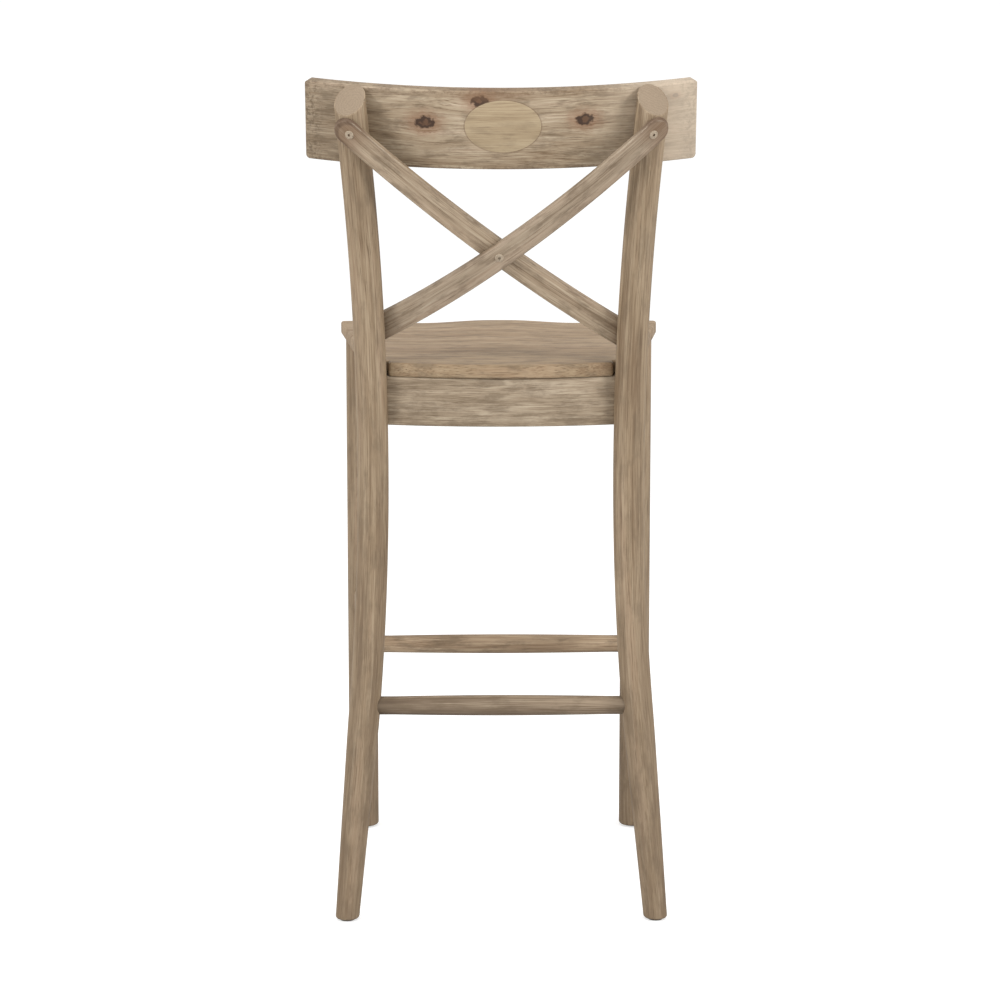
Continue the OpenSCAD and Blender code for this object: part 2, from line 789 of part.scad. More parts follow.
module cross_slat_inner() {
    color(oak) difference() {
        slat(inner_bow_r, 1);
        at_top_screw(inner_bow_r, 1) screw_hole(top_shank);
        at_foot_screw(inner_bow_r, 1) screw_hole(foot_shank);
        at_cross_screw() screw_hole(cross_shank);
    }
}

module cross_screw() { color(steel) at_cross_screw() dome_screw(cross_shank); }

module slat_top_screws() {
    color(steel) {
        at_top_screw(outer_bow_r, -1) dome_screw(top_shank);
        at_top_screw(inner_bow_r, 1) dome_screw(top_shank);
    }
}

module slat_foot_screws() {
    color(steel) {
        at_foot_screw(outer_bow_r, -1) dome_screw(foot_shank);
        at_foot_screw(inner_bow_r, 1) dome_screw(foot_shank);
    }
}

// ---- glides ----

module foot_glides() {
    rear_foot = leg_at(0);
    color(nylon) for (side = [1, -1]) {
        translate([side * front_leg_x, front_leg_y, 0])
            cylinder(h = glide_height, d = glide_d, $fn = round_fn);
        translate([side * rear_foot[0], rear_foot[1], 0])
            cylinder(h = glide_height, d = glide_d, $fn = round_fn);
    }
}

on_side(1) rear_leg(1);  // rear_leg_left
on_side(-1) rear_leg(-1);  // rear_leg_right
on_side(1) front_leg();  // front_leg_left
on_side(-1) front_leg();  // front_leg_right
for (i = [0 : 4])
    seat_board(i);
rear_apron();
front_apron();
on_side(1) side_apron();  // side_apron_left
on_side(-1) side_apron();  // side_apron_right
on_side(1) corner_block(front_corner, front_way, front_block_run);  // corner_block_front_left
on_side(-1) corner_block(front_corner, front_way, front_block_run);  // corner_block_front_right
on_side(1) corner_block(rear_corner, rear_way, rear_block_run);  // corner_block_rear_left
on_side(-1) corner_block(rear_corner, rear_way, rear_block_run);  // corner_block_rear_right
corner_bolts();
seat_screws();
footrest();
rear_stretcher();
on_side(1) side_stretcher();  // side_stretcher_left
on_side(-1) side_stretcher();  // side_stretcher_right
crest_rail();
rail_oval_patch();
rail_dowels();
cross_slat_outer();
cross_slat_inner();
cross_screw();
slat_top_screws();
slat_foot_screws();
foot_glides();
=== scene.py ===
import math

import bmesh
import bpy
from mathutils import Matrix, Vector


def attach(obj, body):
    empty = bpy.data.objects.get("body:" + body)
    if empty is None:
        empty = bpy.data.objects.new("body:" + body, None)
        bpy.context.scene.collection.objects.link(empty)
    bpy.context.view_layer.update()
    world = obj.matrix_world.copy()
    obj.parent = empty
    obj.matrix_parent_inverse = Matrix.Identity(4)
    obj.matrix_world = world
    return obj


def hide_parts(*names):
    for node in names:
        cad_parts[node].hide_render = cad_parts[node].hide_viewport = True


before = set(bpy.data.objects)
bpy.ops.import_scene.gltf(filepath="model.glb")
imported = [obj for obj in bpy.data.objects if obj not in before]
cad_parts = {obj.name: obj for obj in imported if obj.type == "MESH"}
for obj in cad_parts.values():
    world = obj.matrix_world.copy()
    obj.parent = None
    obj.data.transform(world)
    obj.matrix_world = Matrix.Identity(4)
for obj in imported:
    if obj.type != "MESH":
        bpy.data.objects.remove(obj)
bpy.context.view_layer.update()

# ---- Rear legs ----
# Two round rods of solid wood, turned to a taper at the foot and steam-bent twice, so that they stand
# plumb below the seat and lean out and back above and below it. Their tops are sawn off at a slant,
# with the end grain showing, and the whole stool is wire-brushed and washed with a pale driftwood stain.

LEG_R = 0.0212
FOOT_R = 0.0160
POST = Vector((0.1732, 0.156, 0))
PLUMB_Z = 0.600
LOW_BEND, LOW_LEAN = 1.545, math.radians(12.9)
HIGH_BEND, HIGH_LEAN = 1.845, math.radians(12.87)
LEG_TURN = math.radians(90 - 22)
CUT_SLOPE = math.radians(49.5)
CUT_LIP_Z = 1.0895
GLIDE_H = 0.002
LOW_END_Z = PLUMB_Z - LOW_BEND * math.sin(LOW_LEAN)


def bend_run(h, r, lean):
    """Sideways run of a bend of radius r at h from its plumb end, straight once it leans enough."""
    if h < r * math.sin(lean):
        return r - math.sqrt(r * r - h * h)
    return r * (1 - math.cos(lean)) + (h - r * math.sin(lean)) * math.tan(lean)


def leg_run(z):
    if z < PLUMB_Z:
        return bend_run(PLUMB_Z - z, LOW_BEND, LOW_LEAN)
    return bend_run(z - PLUMB_Z, HIGH_BEND, HIGH_LEAN)


def leg_lean(z):
    if z < PLUMB_Z:
        return -math.asin(min((PLUMB_Z - z) / LOW_BEND, math.sin(LOW_LEAN)))
    return math.asin(min((z - PLUMB_Z) / HIGH_BEND, math.sin(HIGH_LEAN)))


def leg_radius(z):
    return LEG_R if z > LOW_END_Z else FOOT_R + (LEG_R - FOOT_R) * z / LOW_END_Z


def unselect_all():
    bpy.ops.object.select_all(action="DESELECT")


def open_piece(name):
    """Names the primitive just added, puts its place in its mesh and opens it, selected all over."""
    piece = bpy.context.active_object
    piece.name = piece.data.name = name
    bpy.ops.object.transform_apply(location=True, rotation=True, scale=True)
    bpy.ops.object.mode_set(mode="EDIT")
    bpy.ops.mesh.select_all(action="SELECT")
    return piece


def choose(piece, kind, test):
    """Selects only the VERT, EDGE or FACE elements that pass the test."""
    bpy.context.tool_settings.mesh_select_mode = [kind == k for k in ("VERT", "EDGE", "FACE")]
    bpy.ops.mesh.select_all(action="DESELECT")
    shape = bmesh.from_edit_mesh(piece.data)
    for part in {"VERT": shape.verts, "EDGE": shape.edges, "FACE": shape.faces}[kind]:
        if test(part):
            part.select_set(True)
    bmesh.update_edit_mesh(piece.data)


def saw(point, normal, **ways):
    """Cuts the open piece along a plane; the cut's edges and end face stay selected."""
    bpy.ops.mesh.select_all(action="SELECT")
    bpy.ops.mesh.bisect(plane_co=point, plane_no=normal, **ways)


def close_piece():
    bpy.ops.mesh.select_all(action="SELECT")
    bpy.ops.mesh.normals_make_consistent(inside=False)
    bpy.ops.object.mode_set(mode="OBJECT")


def lay_grain(piece, rule=lambda co: co, start=(0, 0, 0)):
    """Writes at each vertex how far it lies along, across and through the piece's grain, in metres."""
    grain = piece.data.attributes.new("grain", "FLOAT_VECTOR", "POINT")
    for vertex, entry in zip(piece.data.vertices, grain.data):
        entry.vector = Vector(rule(vertex.co)) + Vector(start)


def shift_grain(piece, start):
    for entry in piece.data.attributes["grain"].data:
        entry.vector = Vector(entry.vector) + Vector(start)


def set_down(piece, place=(0, 0, 0), turn=(0, 0, 0), smooth=35):
    """Puts a closed piece in its place on the stool and smooths its round faces."""
    piece.location = place
    piece.rotation_euler = turn
    bpy.ops.object.transform_apply(location=True, rotation=True, scale=True)
    bpy.ops.object.shade_smooth_by_angle(angle=math.radians(smooth))


def copy_piece(piece, name):
    """A copy with its own mesh, the only one selected."""
    unselect_all()
    twin = piece.copy()
    twin.data = piece.data.copy()
    twin.name = twin.data.name = name
    bpy.context.collection.objects.link(twin)
    twin.select_set(True)
    bpy.context.view_layer.objects.active = twin
    return twin


def mirror_piece(piece, name, start=(0.41, 0.13, 0.07)):
    """The same piece for the stool's other side, cut from another stretch of wood."""
    twin = copy_piece(piece, name)
    twin.scale.x = -1
    bpy.ops.object.transform_apply(location=True, rotation=True, scale=True)
    bpy.ops.object.mode_set(mode="EDIT")
    close_piece()
    shift_grain(twin, start)
    return twin


def draw_rod(name, stations, sides=64):
    """A round rod drawn out ring by ring: each station is (middle, radius, lean about Y)."""
    middle, radius, lean = stations[0]
    unselect_all()
    bpy.ops.mesh.primitive_circle_add(vertices=sides, radius=radius, fill_type="NGON",
                                      location=middle, rotation=(0, lean, 0))
    rod = open_piece(name)
    for (here, r_here, lean_here), (there, r_there, lean_there) in zip(stations, stations[1:]):
        bpy.ops.mesh.extrude_region_move(TRANSFORM_OT_translate={"value": there - here})
        bpy.ops.transform.resize(value=(r_there / r_here,) * 3, center_override=there)
        if lean_there != lean_here:
            bpy.ops.transform.rotate(value=lean_here - lean_there, orient_axis="Y",
                                     center_override=there)
    return rod


def new_finish(name):
    """A new material, with its node tree and its shader."""
    finish = bpy.data.materials.new(name)
    finish.use_nodes = True
    return finish, finish.node_tree, finish.node_tree.nodes["Principled BSDF"]


def new_group(name, inputs, outputs):
    """A node group with named float or vector sockets."""
    kinds = {float: "NodeSocketFloat", tuple: "NodeSocketVector"}
    group = bpy.data.node_groups.new(name, "ShaderNodeTree")
    for label, value in inputs.items():
        socket = group.interface.new_socket(label, in_out="INPUT", socket_type=kinds[type(value)])
        socket.default_value = value
    for label, kind in outputs.items():
        group.interface.new_socket(label, in_out="OUTPUT", socket_type=kinds[kind])
    return group, group.nodes.new("NodeGroupInput").outputs, group.nodes.new("NodeGroupOutput").inputs


def feed(tree, socket, value):
    if isinstance(value, bpy.types.NodeSocket):
        tree.links.new(value, socket)
    else:
        socket.default_value = value


def calc(tree, operation, *values, clamp=False):
    node = tree.nodes.new("ShaderNodeMath")
    node.operation = operation
    node.use_clamp = clamp
    for socket, value in zip(node.inputs, values):
        feed(tree, socket, value)
    return node.outputs[0]


def vector_calc(tree, operation, *values):
    node = tree.nodes.new("ShaderNodeVectorMath")
    node.operation = operation
    for socket, value in zip(node.inputs, values):
        feed(tree, socket, value)
    return node.outputs["Value" if operation in ("LENGTH", "DOT_PRODUCT") else "Vector"]


def split(tree, vector):
    """The three parts of a vector."""
    node = tree.nodes.new("ShaderNodeSeparateXYZ")
    tree.links.new(vector, node.inputs[0])
    return node.outputs


def on_object(tree):
    return tree.nodes.new("ShaderNodeTexCoord").outputs["Object"]


def laid_grain(tree):
    node = tree.nodes.new("ShaderNodeAttribute")
    node.attribute_name = "grain"
    return node.outputs["Vector"]


def noise(tree, vector, scale=1.0, detail=3.0, roughness=0.55):
    node = tree.nodes.new("ShaderNodeTexNoise")
    for socket, value in (("Vector", vector), ("Scale", scale), ("Detail", detail), ("Roughness", roughness)):
        feed(tree, node.inputs[socket], value)
    return node.outputs["Fac"]


def ramp_value(tree, value, low, high):
    """0 at low, 1 at high, clamped and smooth in between."""
    node = tree.nodes.new("ShaderNodeMapRange")
    node.interpolation_type = "SMOOTHSTEP"
    feed(tree, node.inputs["Value"], value)
    node.inputs["From Min"].default_value = low
    node.inputs["From Max"].default_value = high
    return node.outputs["Result"]


def mix_colour(tree, amount, under, over, mode="MIX"):
    node = tree.nodes.new("ShaderNodeMix")
    node.data_type = "RGBA"
    node.blend_type = mode
    for socket, value in ((node.inputs[0], amount), (node.inputs[6], under), (node.inputs[7], over)):
        feed(tree, socket, value)
    return node.outputs[2]


def add_relief(tree, shader, height, strength, distance):
    node = tree.nodes.new("ShaderNodeBump")
    node.inputs["Strength"].default_value = strength
    node.inputs["Distance"].default_value = distance
    feed(tree, node.inputs["Height"], height)
    tree.links.new(node.outputs["Normal"], shader.inputs["Normal"])


def use_group(tree, group, **values):
    node = tree.nodes.new("ShaderNodeGroup")
    node.node_tree = group
    for label, value in values.items():
        feed(tree, node.inputs[label.replace("_", " ")], value)
    return node.outputs


def stain(red, green, blue):
    """A colour as a paint maker names it, 0 to 255, as the shader takes it."""
    def linear(v):
        v /= 255
        return v / 12.92 if v <= 0.04045 else ((v + 0.055) / 1.055) ** 2.4
    return (linear(red), linear(green), linear(blue), 1.0)


# Wire-brushed grain: long thin streaks, finer pores and broad growth bands along the wood.
brushed_grain, g_in, g_out = new_group(
    "brushed_grain",
    {"Grain": (0.0, 0.0, 0.0), "Width": 0.004, "Length": 0.16, "Waviness": 0.008},
    {"Streaks": float, "Pores": float, "Bands": float, "Mottle": float},
)
tree = brushed_grain
sway = noise(tree, vector_calc(tree, "MULTIPLY", g_in["Grain"], (3.5, 16.0, 16.0)), detail=2.0)
sway = calc(tree, "MULTIPLY", calc(tree, "SUBTRACT", sway, 0.5), g_in["Waviness"])
parts = split(tree, g_in["Grain"])
join = tree.nodes.new("ShaderNodeCombineXYZ")
feed(tree, join.inputs[0], calc(tree, "DIVIDE", parts[0], g_in["Length"]))
for axis in (1, 2):
    swayed = calc(tree, "ADD", parts[axis], sway)
    feed(tree, join.inputs[axis], calc(tree, "DIVIDE", swayed, g_in["Width"]))
lines = join.outputs[0]
feed(tree, g_out["Streaks"], noise(tree, lines))
feed(tree, g_out["Pores"], noise(tree, vector_calc(tree, "MULTIPLY", lines, (3.1, 2.9, 2.9)), detail=4.0))
feed(tree, g_out["Bands"], noise(tree, vector_calc(tree, "MULTIPLY", lines, (0.45, 0.17, 0.17)), detail=2.0))
clouds = vector_calc(tree, "MULTIPLY", g_in["Grain"], (24.0, 75.0, 75.0))
feed(tree, g_out["Mottle"], noise(tree, clouds, detail=5.0, roughness=0.65))

# Wear on corners: light where the surface turns sharply, broken up along the edge. Where it is strong, as on
# the slats, it is also a painted highlight along the edges.
edge_wear_and_highlight, g_in, g_out = new_group("edge_wear_and_highlight", {"Grain": (0.0, 0.0, 0.0), "Reach": 0.002}, {"Wear": float})
tree = edge_wear_and_highlight
rounded = tree.nodes.new("ShaderNodeBevel")
rounded.samples = 4
tree.links.new(g_in["Reach"], rounded.inputs["Radius"])
true_face = tree.nodes.new("ShaderNodeNewGeometry")
turned = vector_calc(tree, "DOT_PRODUCT", rounded.outputs[0], true_face.outputs["Normal"])
corner = calc(tree, "MULTIPLY", calc(tree, "SUBTRACT", 1.0, turned), 9.0, clamp=True)
patchy = ramp_value(tree, noise(tree, g_in["Grain"], scale=90.0), 0.35, 0.62)
feed(tree, g_out["Wear"], calc(tree, "MULTIPLY", corner, patchy))

# A knot: the grain spreads round it, and its heart is dark with a ringed edge.
knot_in_grain, g_in, g_out = new_group(
    "knot_in_grain",
    {"Grain": (0.0, 0.0, 0.0), "Place": (0.0, 0.0, 0.0), "Size": 0.008},
    {"Grain": tuple, "Knot": float, "Heart": float, "Halo": float},
)
tree = knot_in_grain
gap = vector_calc(tree, "SUBTRACT", g_in["Grain"], g_in["Place"])
wobble = noise(tree, g_in["Grain"], scale=140.0, detail=2.0)
across_gap = vector_calc(tree, "MULTIPLY", gap, (0.66, 1.0, 0.0))
far_off = calc(tree, "DIVIDE", vector_calc(tree, "LENGTH", across_gap), g_in["Size"])
far_off = calc(tree, "ADD", far_off, calc(tree, "MULTIPLY", calc(tree, "SUBTRACT", wobble, 0.5), 1.5))
pull = calc(tree, "DIVIDE", 0.9, calc(tree, "ADD", 1.0, calc(tree, "MULTIPLY", far_off, far_off)))
pulled = tree.nodes.new("ShaderNodeVectorMath")
pulled.operation = "SCALE"
tree.links.new(vector_calc(tree, "MULTIPLY", gap, (0.25, 1.0, 0.0)), pulled.inputs[0])
tree.links.new(pull, pulled.inputs["Scale"])
feed(tree, g_out["Grain"], vector_calc(tree, "SUBTRACT", g_in["Grain"], pulled.outputs[0]))
feed(tree, g_out["Knot"], ramp_value(tree, far_off, 1.15, 0.75))
feed(tree, g_out["Heart"], ramp_value(tree, far_off, 0.55, 0.20))
feed(tree, g_out["Halo"], ramp_value(tree, far_off, 2.8, 0.8))

RED_BROWN = stain(142, 108, 82)
KNOT_BROWN = stain(52, 34, 24)
HEART_BROWN = stain(106, 76, 54)
HALO_BROWN = stain(128, 88, 62)
PORE_BROWN = stain(92, 74, 55)
CLOUD_BROWN = stain(104, 88, 69)
# The pale of worn edges, also the colour of the painted highlight along the slats' edges.
WORN_AND_LIT_PALE = stain(190, 177, 157)


def washed_wood(name, dark, middle, pale, width=0.0036, length=0.17, waviness=0.009, contrast=1.0,
                pores=0.65, wear_and_highlight=0.4, mottle=0.55, redness=0.25,
                knots=(), stain_rule=None):
    """Brushed and washed wood for a piece that has its grain laid."""
    wood, tree, shader = new_finish(name)
    laid = laid_grain(tree)
    grain = laid
    knot_marks = []
    for place, size in knots:
        mark = use_group(tree, knot_in_grain, Grain=grain, Place=place, Size=size)
        grain = mark["Grain"]
        knot_marks.append(mark)
    lines = use_group(tree, brushed_grain, Grain=grain, Width=width, Length=length, Waviness=waviness)
    tone = calc(tree, "MULTIPLY_ADD", lines["Streaks"], 0.35, calc(tree, "MULTIPLY", lines["Bands"], 0.55))
    tone = calc(tree, "MULTIPLY_ADD", lines["Pores"], 0.40, tone)
    spread = tree.nodes.new("ShaderNodeMapRange")
    feed(tree, spread.inputs["Value"], tone)
    spread.inputs["From Min"].default_value = 0.65 - 0.20 / contrast
    spread.inputs["From Max"].default_value = 0.65 + 0.20 / contrast
    shades = tree.nodes.new("ShaderNodeValToRGB")
    tree.links.new(spread.outputs["Result"], shades.inputs["Fac"])
    shades.color_ramp.elements[0].position = 0.14
    shades.color_ramp.elements[0].color = dark
    shades.color_ramp.elements[1].position = 0.86
    shades.color_ramp.elements[1].color = pale
    shades.color_ramp.elements.new(0.5).color = middle
    colour = shades.outputs["Color"]
    reddish = ramp_value(tree, lines["Bands"], 0.50, 0.66)
    colour = mix_colour(tree, calc(tree, "MULTIPLY", reddish, redness), colour, RED_BROWN)
    cloudy = ramp_value(tree, lines["Mottle"], 0.46, 0.66)
    colour = mix_colour(tree, calc(tree, "MULTIPLY", cloudy, mottle), colour, CLOUD_BROWN)
    pore_lines = ramp_value(tree, lines["Pores"], 0.44, 0.30)
    colour = mix_colour(tree, calc(tree, "MULTIPLY", pore_lines, pores), colour, PORE_BROWN)
    for mark in knot_marks:
        colour = mix_colour(tree, calc(tree, "MULTIPLY", mark["Halo"], 0.55), colour, HALO_BROWN)
        knot_colour = mix_colour(tree, calc(tree, "MULTIPLY", mark["Heart"], 0.6), KNOT_BROWN, HEART_BROWN)
        colour = mix_colour(tree, calc(tree, "MULTIPLY", mark["Knot"], 0.92), colour, knot_colour)
    if stain_rule:
        colour = stain_rule(tree, laid, lines, colour)
    worn = use_group(tree, edge_wear_and_highlight, Grain=laid, Reach=0.0022)["Wear"]
    colour = mix_colour(tree, calc(tree, "MULTIPLY", worn, wear_and_highlight), colour, WORN_AND_LIT_PALE)
    feed(tree, shader.inputs["Base Color"], colour)
    feed(tree, shader.inputs["Roughness"], calc(tree, "MULTIPLY_ADD", lines["Streaks"], 0.25, 0.50))
    shader.inputs["Specular IOR Level"].default_value = 0.35
    height = calc(tree, "MULTIPLY_ADD", lines["Pores"], 0.5, lines["Streaks"])
    add_relief(tree, shader, height, strength=0.55, distance=0.0006)
    return wood


def end_grain(name, dark, pale, pith=(0.006, 0.004)):
    """Sawn end of a round rod: growth rings round a pith that lies off the middle."""
    wood, tree, shader = new_finish(name)
    laid = laid_grain(tree)
    flat = vector_calc(tree, "MULTIPLY", laid, (0.0, 1.0, 1.0))
    off = vector_calc(tree, "LENGTH", vector_calc(tree, "SUBTRACT", flat, (0.0, *pith)))
    sway = noise(tree, laid, scale=120.0)
    ring = calc(tree, "SINE", calc(tree, "MULTIPLY_ADD", sway, 14.0, calc(tree, "MULTIPLY", off, 1700.0)))
    speck = noise(tree, laid, scale=900.0, detail=4.0)
    amount = calc(tree, "MULTIPLY_ADD", ring, 0.06, speck, clamp=True)
    feed(tree, shader.inputs["Base Color"], mix_colour(tree, amount, dark, pale))
    shader.inputs["Roughness"].default_value = 0.72
    add_relief(tree, shader, amount, strength=0.5, distance=0.0004)
    return wood


def painted_low_shade(tree, laid, lines, colour):
    """Painted shade: darker towards the floor, broken up by the mottle."""
    low = ramp_value(tree, split(tree, on_object(tree))[2], 0.55, 0.12)
    amount = calc(tree, "MULTIPLY", low, calc(tree, "MULTIPLY_ADD", lines["Mottle"], 0.7, 0.1))
    return mix_colour(tree, amount, colour, stain(100, 82, 62))


# The legs are painted darker towards the floor as shade.
leg_wood = washed_wood("leg_wood", stain(118, 97, 74), stain(146, 126, 101), stain(170, 152, 127),
                       width=0.0030, length=0.16, mottle=0.35, stain_rule=painted_low_shade)
leg_end_wood = end_grain("leg_end_wood", stain(118, 98, 77), stain(164, 147, 125))

RINGS = 46
RING_FROM, RING_TO = -0.012, 1.135
stations = []
for step in range(RINGS + 1):
    z = RING_FROM + (RING_TO - RING_FROM) * step / RINGS
    stations.append((Vector((leg_run(z), 0, z)), leg_radius(z), leg_lean(z)))
rear_leg_left = draw_rod("bent_rear_leg_left", stations)
saw((0, 0, GLIDE_H), (0, 0, 1), use_fill=True, clear_inner=True)
bpy.ops.mesh.bevel(offset=0.0035, segments=3, affect="EDGES")
cut_face = Vector((math.sin(CUT_SLOPE), 0, math.cos(CUT_SLOPE)))
saw((leg_run(CUT_LIP_Z) + LEG_R, 0, CUT_LIP_Z), cut_face, use_fill=True, clear_outer=True)
bpy.ops.mesh.bevel(offset=0.0012, segments=2, affect="EDGES")
close_piece()
lay_grain(rear_leg_left, lambda co: (co.z, co.x - leg_run(co.z), co.y))
for material in (leg_wood, leg_end_wood):
    rear_leg_left.data.materials.append(material)
for face in rear_leg_left.data.polygons:
    if face.normal.dot(cut_face) > 0.98:
        face.material_index = 1
set_down(rear_leg_left, place=POST, turn=(0, 0, LEG_TURN))
rear_leg_right = mirror_piece(rear_leg_left, "bent_rear_leg_right")
for piece, node in ((rear_leg_left, "rear_leg_left"), (rear_leg_right, "rear_leg_right")):
    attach(piece, "root")
    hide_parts(node)

# ---- Front legs ----
# Two straight turned rods of the same wood, upright under the seat's front corners. Their tops stop
# under the seat, and their feet are rounded over so that they do not splinter when the stool is dragged.

FRONT_LEG_R = 0.0215
FRONT_LEG = Vector((0.200, -0.22275, 0))
SEAT_BOTTOM = 0.7325
FOOT_ROUND = 0.004

middle_z = (GLIDE_H + SEAT_BOTTOM) / 2
unselect_all()
bpy.ops.mesh.primitive_cylinder_add(vertices=64, radius=FRONT_LEG_R, depth=SEAT_BOTTOM - GLIDE_H,
                                    location=(0, 0, middle_z))
front_leg_left = open_piece("turned_front_leg_left")
choose(front_leg_left, "EDGE", lambda e: all(v.co.z < GLIDE_H + 1e-5 for v in e.verts))
bpy.ops.mesh.bevel(offset=FOOT_ROUND, segments=4, affect="EDGES")
for step in range(1, 12):
    saw((0, 0, SEAT_BOTTOM * step / 12), (0, 0, 1))
close_piece()
lay_grain(front_leg_left, lambda co: (co.z, co.x, co.y), start=(1.3, 0.2, 0.3))
front_leg_left.data.materials.append(leg_wood)
set_down(front_leg_left, place=FRONT_LEG)
front_leg_right = mirror_piece(front_leg_left, "turned_front_leg_right")
for piece, node in ((front_leg_left, "front_leg_left"), (front_leg_right, "front_leg_right")):
    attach(piece, "root")
    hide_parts(node)

# ---- Footrest and stretchers ----
# Four turned bars, a little stouter at the middle, glued into sockets bored in the legs. The front one
# is the footrest, the rear one sits slightly higher, and the two side bars higher still.

BAR_END_R = 0.0125
BAR_MIDDLE_R = 0.0140
PLUG = 0.034
SOCKET_STOP = 0.006
FOOTREST_Z = 0.2755
REAR_BAR_Z = 0.284
SIDE_BAR_Z = 0.353


def leg_middle(z):
    """Middle line of the left rear leg."""
    return POST + Vector((math.cos(LEG_TURN), math.sin(LEG_TURN), 0)) * leg_run(z) + Vector((0, 0, z))


def turned_bar(name, start, end, wood, shift):
    """A swelled bar from start to end, both on the middle lines of the legs that hold it."""
    way = (end - start).normalized()
    length = (end - start).length - 2 * SOCKET_STOP
    stations = [(Vector((0, 0, 0)), BAR_END_R, 0)]
    steps = 16
    for step in range(steps + 1):
        t = step / steps
        radius = BAR_END_R + (BAR_MIDDLE_R - BAR_END_R) * math.sin(math.pi * t)
        stations.append((Vector((0, 0, PLUG + (length - 2 * PLUG) * t)), radius, 0))
    stations.append((Vector((0, 0, length)), BAR_END_R, 0))
    bar = draw_rod(name, stations, sides=48)
    choose(bar, "EDGE", lambda e: len({round(v.co.z, 5) for v in e.verts} & {0, round(length, 5)}) == 1
           and abs(e.verts[0].co.z - e.verts[1].co.z) < 1e-6)
    bpy.ops.mesh.bevel(offset=0.0012, segments=2, affect="EDGES")
    close_piece()
    lay_grain(bar, lambda co: (co.z, co.x, co.y), start=shift)
    bar.data.materials.append(wood)
    set_down(bar, place=start + way * SOCKET_STOP, turn=way.to_track_quat("Z", "Y").to_euler())
    return bar


def painted_joint_shade(tree, laid, lines, colour):
    """Painted shade on the bars where they enter the legs, broken up by the mottle."""
    near_leg = ramp_value(tree, calc(tree, "ABSOLUTE", split(tree, on_object(tree))[0]), 0.125, 0.168)
    amount = calc(tree, "MULTIPLY", near_leg, calc(tree, "MULTIPLY_ADD", lines["Mottle"], 0.9, 0.1))
    return mix_colour(tree, amount, colour, stain(80, 66, 50))


footrest_wood = washed_wood("footrest_wood", stain(132, 109, 85), stain(162, 140, 114), stain(188, 168, 142),
                            width=0.0028, length=0.22, contrast=1.15)
# The rear bar is painted darker near the legs as shade where it meets them.
rear_bar_wood = washed_wood("rear_bar_wood", stain(98, 81, 64), stain(122, 105, 86), stain(150, 134, 113),
                            width=0.0028, length=0.22, contrast=1.3, redness=0.1, stain_rule=painted_joint_shade)
bar_wood = washed_wood("bar_wood", stain(116, 96, 74), stain(142, 122, 98), stain(166, 148, 124),
                       width=0.0028, length=0.22, contrast=1.15)
front_at = FRONT_LEG + Vector((0, 0, FOOTREST_Z))
rear_at = leg_middle(REAR_BAR_Z)
side_rear = leg_middle(SIDE_BAR_Z)
flip_x = Vector((-1, 1, 1))
footrest = turned_bar("footrest_bar", front_at * flip_x, front_at, footrest_wood, (2.1, 0.5, 0.1))
rear_bar = turned_bar("rear_bar", rear_at * flip_x, rear_at, rear_bar_wood, (3.2, 0.7, 0.4))
side_bar_left = turned_bar("side_bar_left", FRONT_LEG + Vector((0, 0, SIDE_BAR_Z)), side_rear,
                           bar_wood, (4.4, 0.2, 0.6))
side_bar_right = mirror_piece(side_bar_left, "side_bar_right")
for piece, node in ((footrest, "footrest"), (rear_bar, "rear_stretcher"),
                    (side_bar_left, "side_stretcher_left"), (side_bar_right, "side_stretcher_right")):
    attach(piece, "root")
    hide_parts(node)

# ---- Aprons ----
# Four boards on edge that tie the leg tops together under the seat, tenoned into the legs. The rear
# one is sawn to the bow of the back, and its brushed face is greyer, with stains across the grain.

APRON_H = 0.0665
FRONT_LET_IN, SIDE_LET_IN = 0.006, 0.008
APRON_EASE = 0.0015
APRON_T = 0.020
SIDE_APRON_T = 0.018
BOW_R = 0.680
REAR_APRON_Y = 0.1733
REAR_APRON_HALF = 0.1655
APRON_BOTTOM = SEAT_BOTTOM - APRON_H
APRON_MIDDLE = SEAT_BOTTOM - APRON_H / 2


def board(name, length, thick, high, edge):
    """A board along X about the origin, with eased edges."""
    unselect_all()
    bpy.ops.mesh.primitive_cube_add(size=1)
    bpy.context.active_object.scale = (length, thick, high)
    piece = open_piece(name)
    bpy.ops.mesh.bevel(offset=edge, segments=2, affect="EDGES")
    close_piece()
    lay_grain(piece, lambda co: (co.x, co.z, co.y))
    return piece


def blotched(tree, laid, lines, colour):
    """Old water stains that run down over the board's face."""
    drips = noise(tree, vector_calc(tree, "MULTIPLY", laid, (20.0, 15.0, 15.0)), detail=5.0, roughness=0.6)
    return mix_colour(tree, calc(tree, "MULTIPLY", ramp_value(tree, drips, 0.48, 0.74), 0.45),
                      colour, stain(100, 84, 66))


apron_wood = washed_wood("apron_wood", stain(120, 103, 82), stain(150, 133, 111), stain(178, 163, 141),
                         width=0.0026, length=0.08, redness=0.1, stain_rule=blotched)
front_apron = board("front_apron_board", 2 * (FRONT_LEG.x - FRONT_LEG_R + FRONT_LET_IN),
                    APRON_T, APRON_H, APRON_EASE)
set_down(front_apron, place=(0, FRONT_LEG.y, APRON_MIDDLE))

side_start = Vector((0.194, FRONT_LEG.y, APRON_MIDDLE))
side_end = Vector((0.172, leg_middle(SEAT_BOTTOM).y, APRON_MIDDLE))
side_way = (side_end - side_start).normalized()
side_from = side_start + side_way * (FRONT_LEG_R - SIDE_LET_IN)
side_to = side_end - side_way * (LEG_R - SIDE_LET_IN)
side_apron_left = board("side_apron_board_left", (side_to - side_from).length, SIDE_APRON_T,
                        APRON_H, APRON_EASE)
shift_grain(side_apron_left, (1.7, 0.3, 0.2))
set_down(side_apron_left, place=(side_from + side_to) / 2, turn=(0, 0, math.atan2(side_way.y, side_way.x)))
side_apron_right = mirror_piece(side_apron_left, "side_apron_board_right")


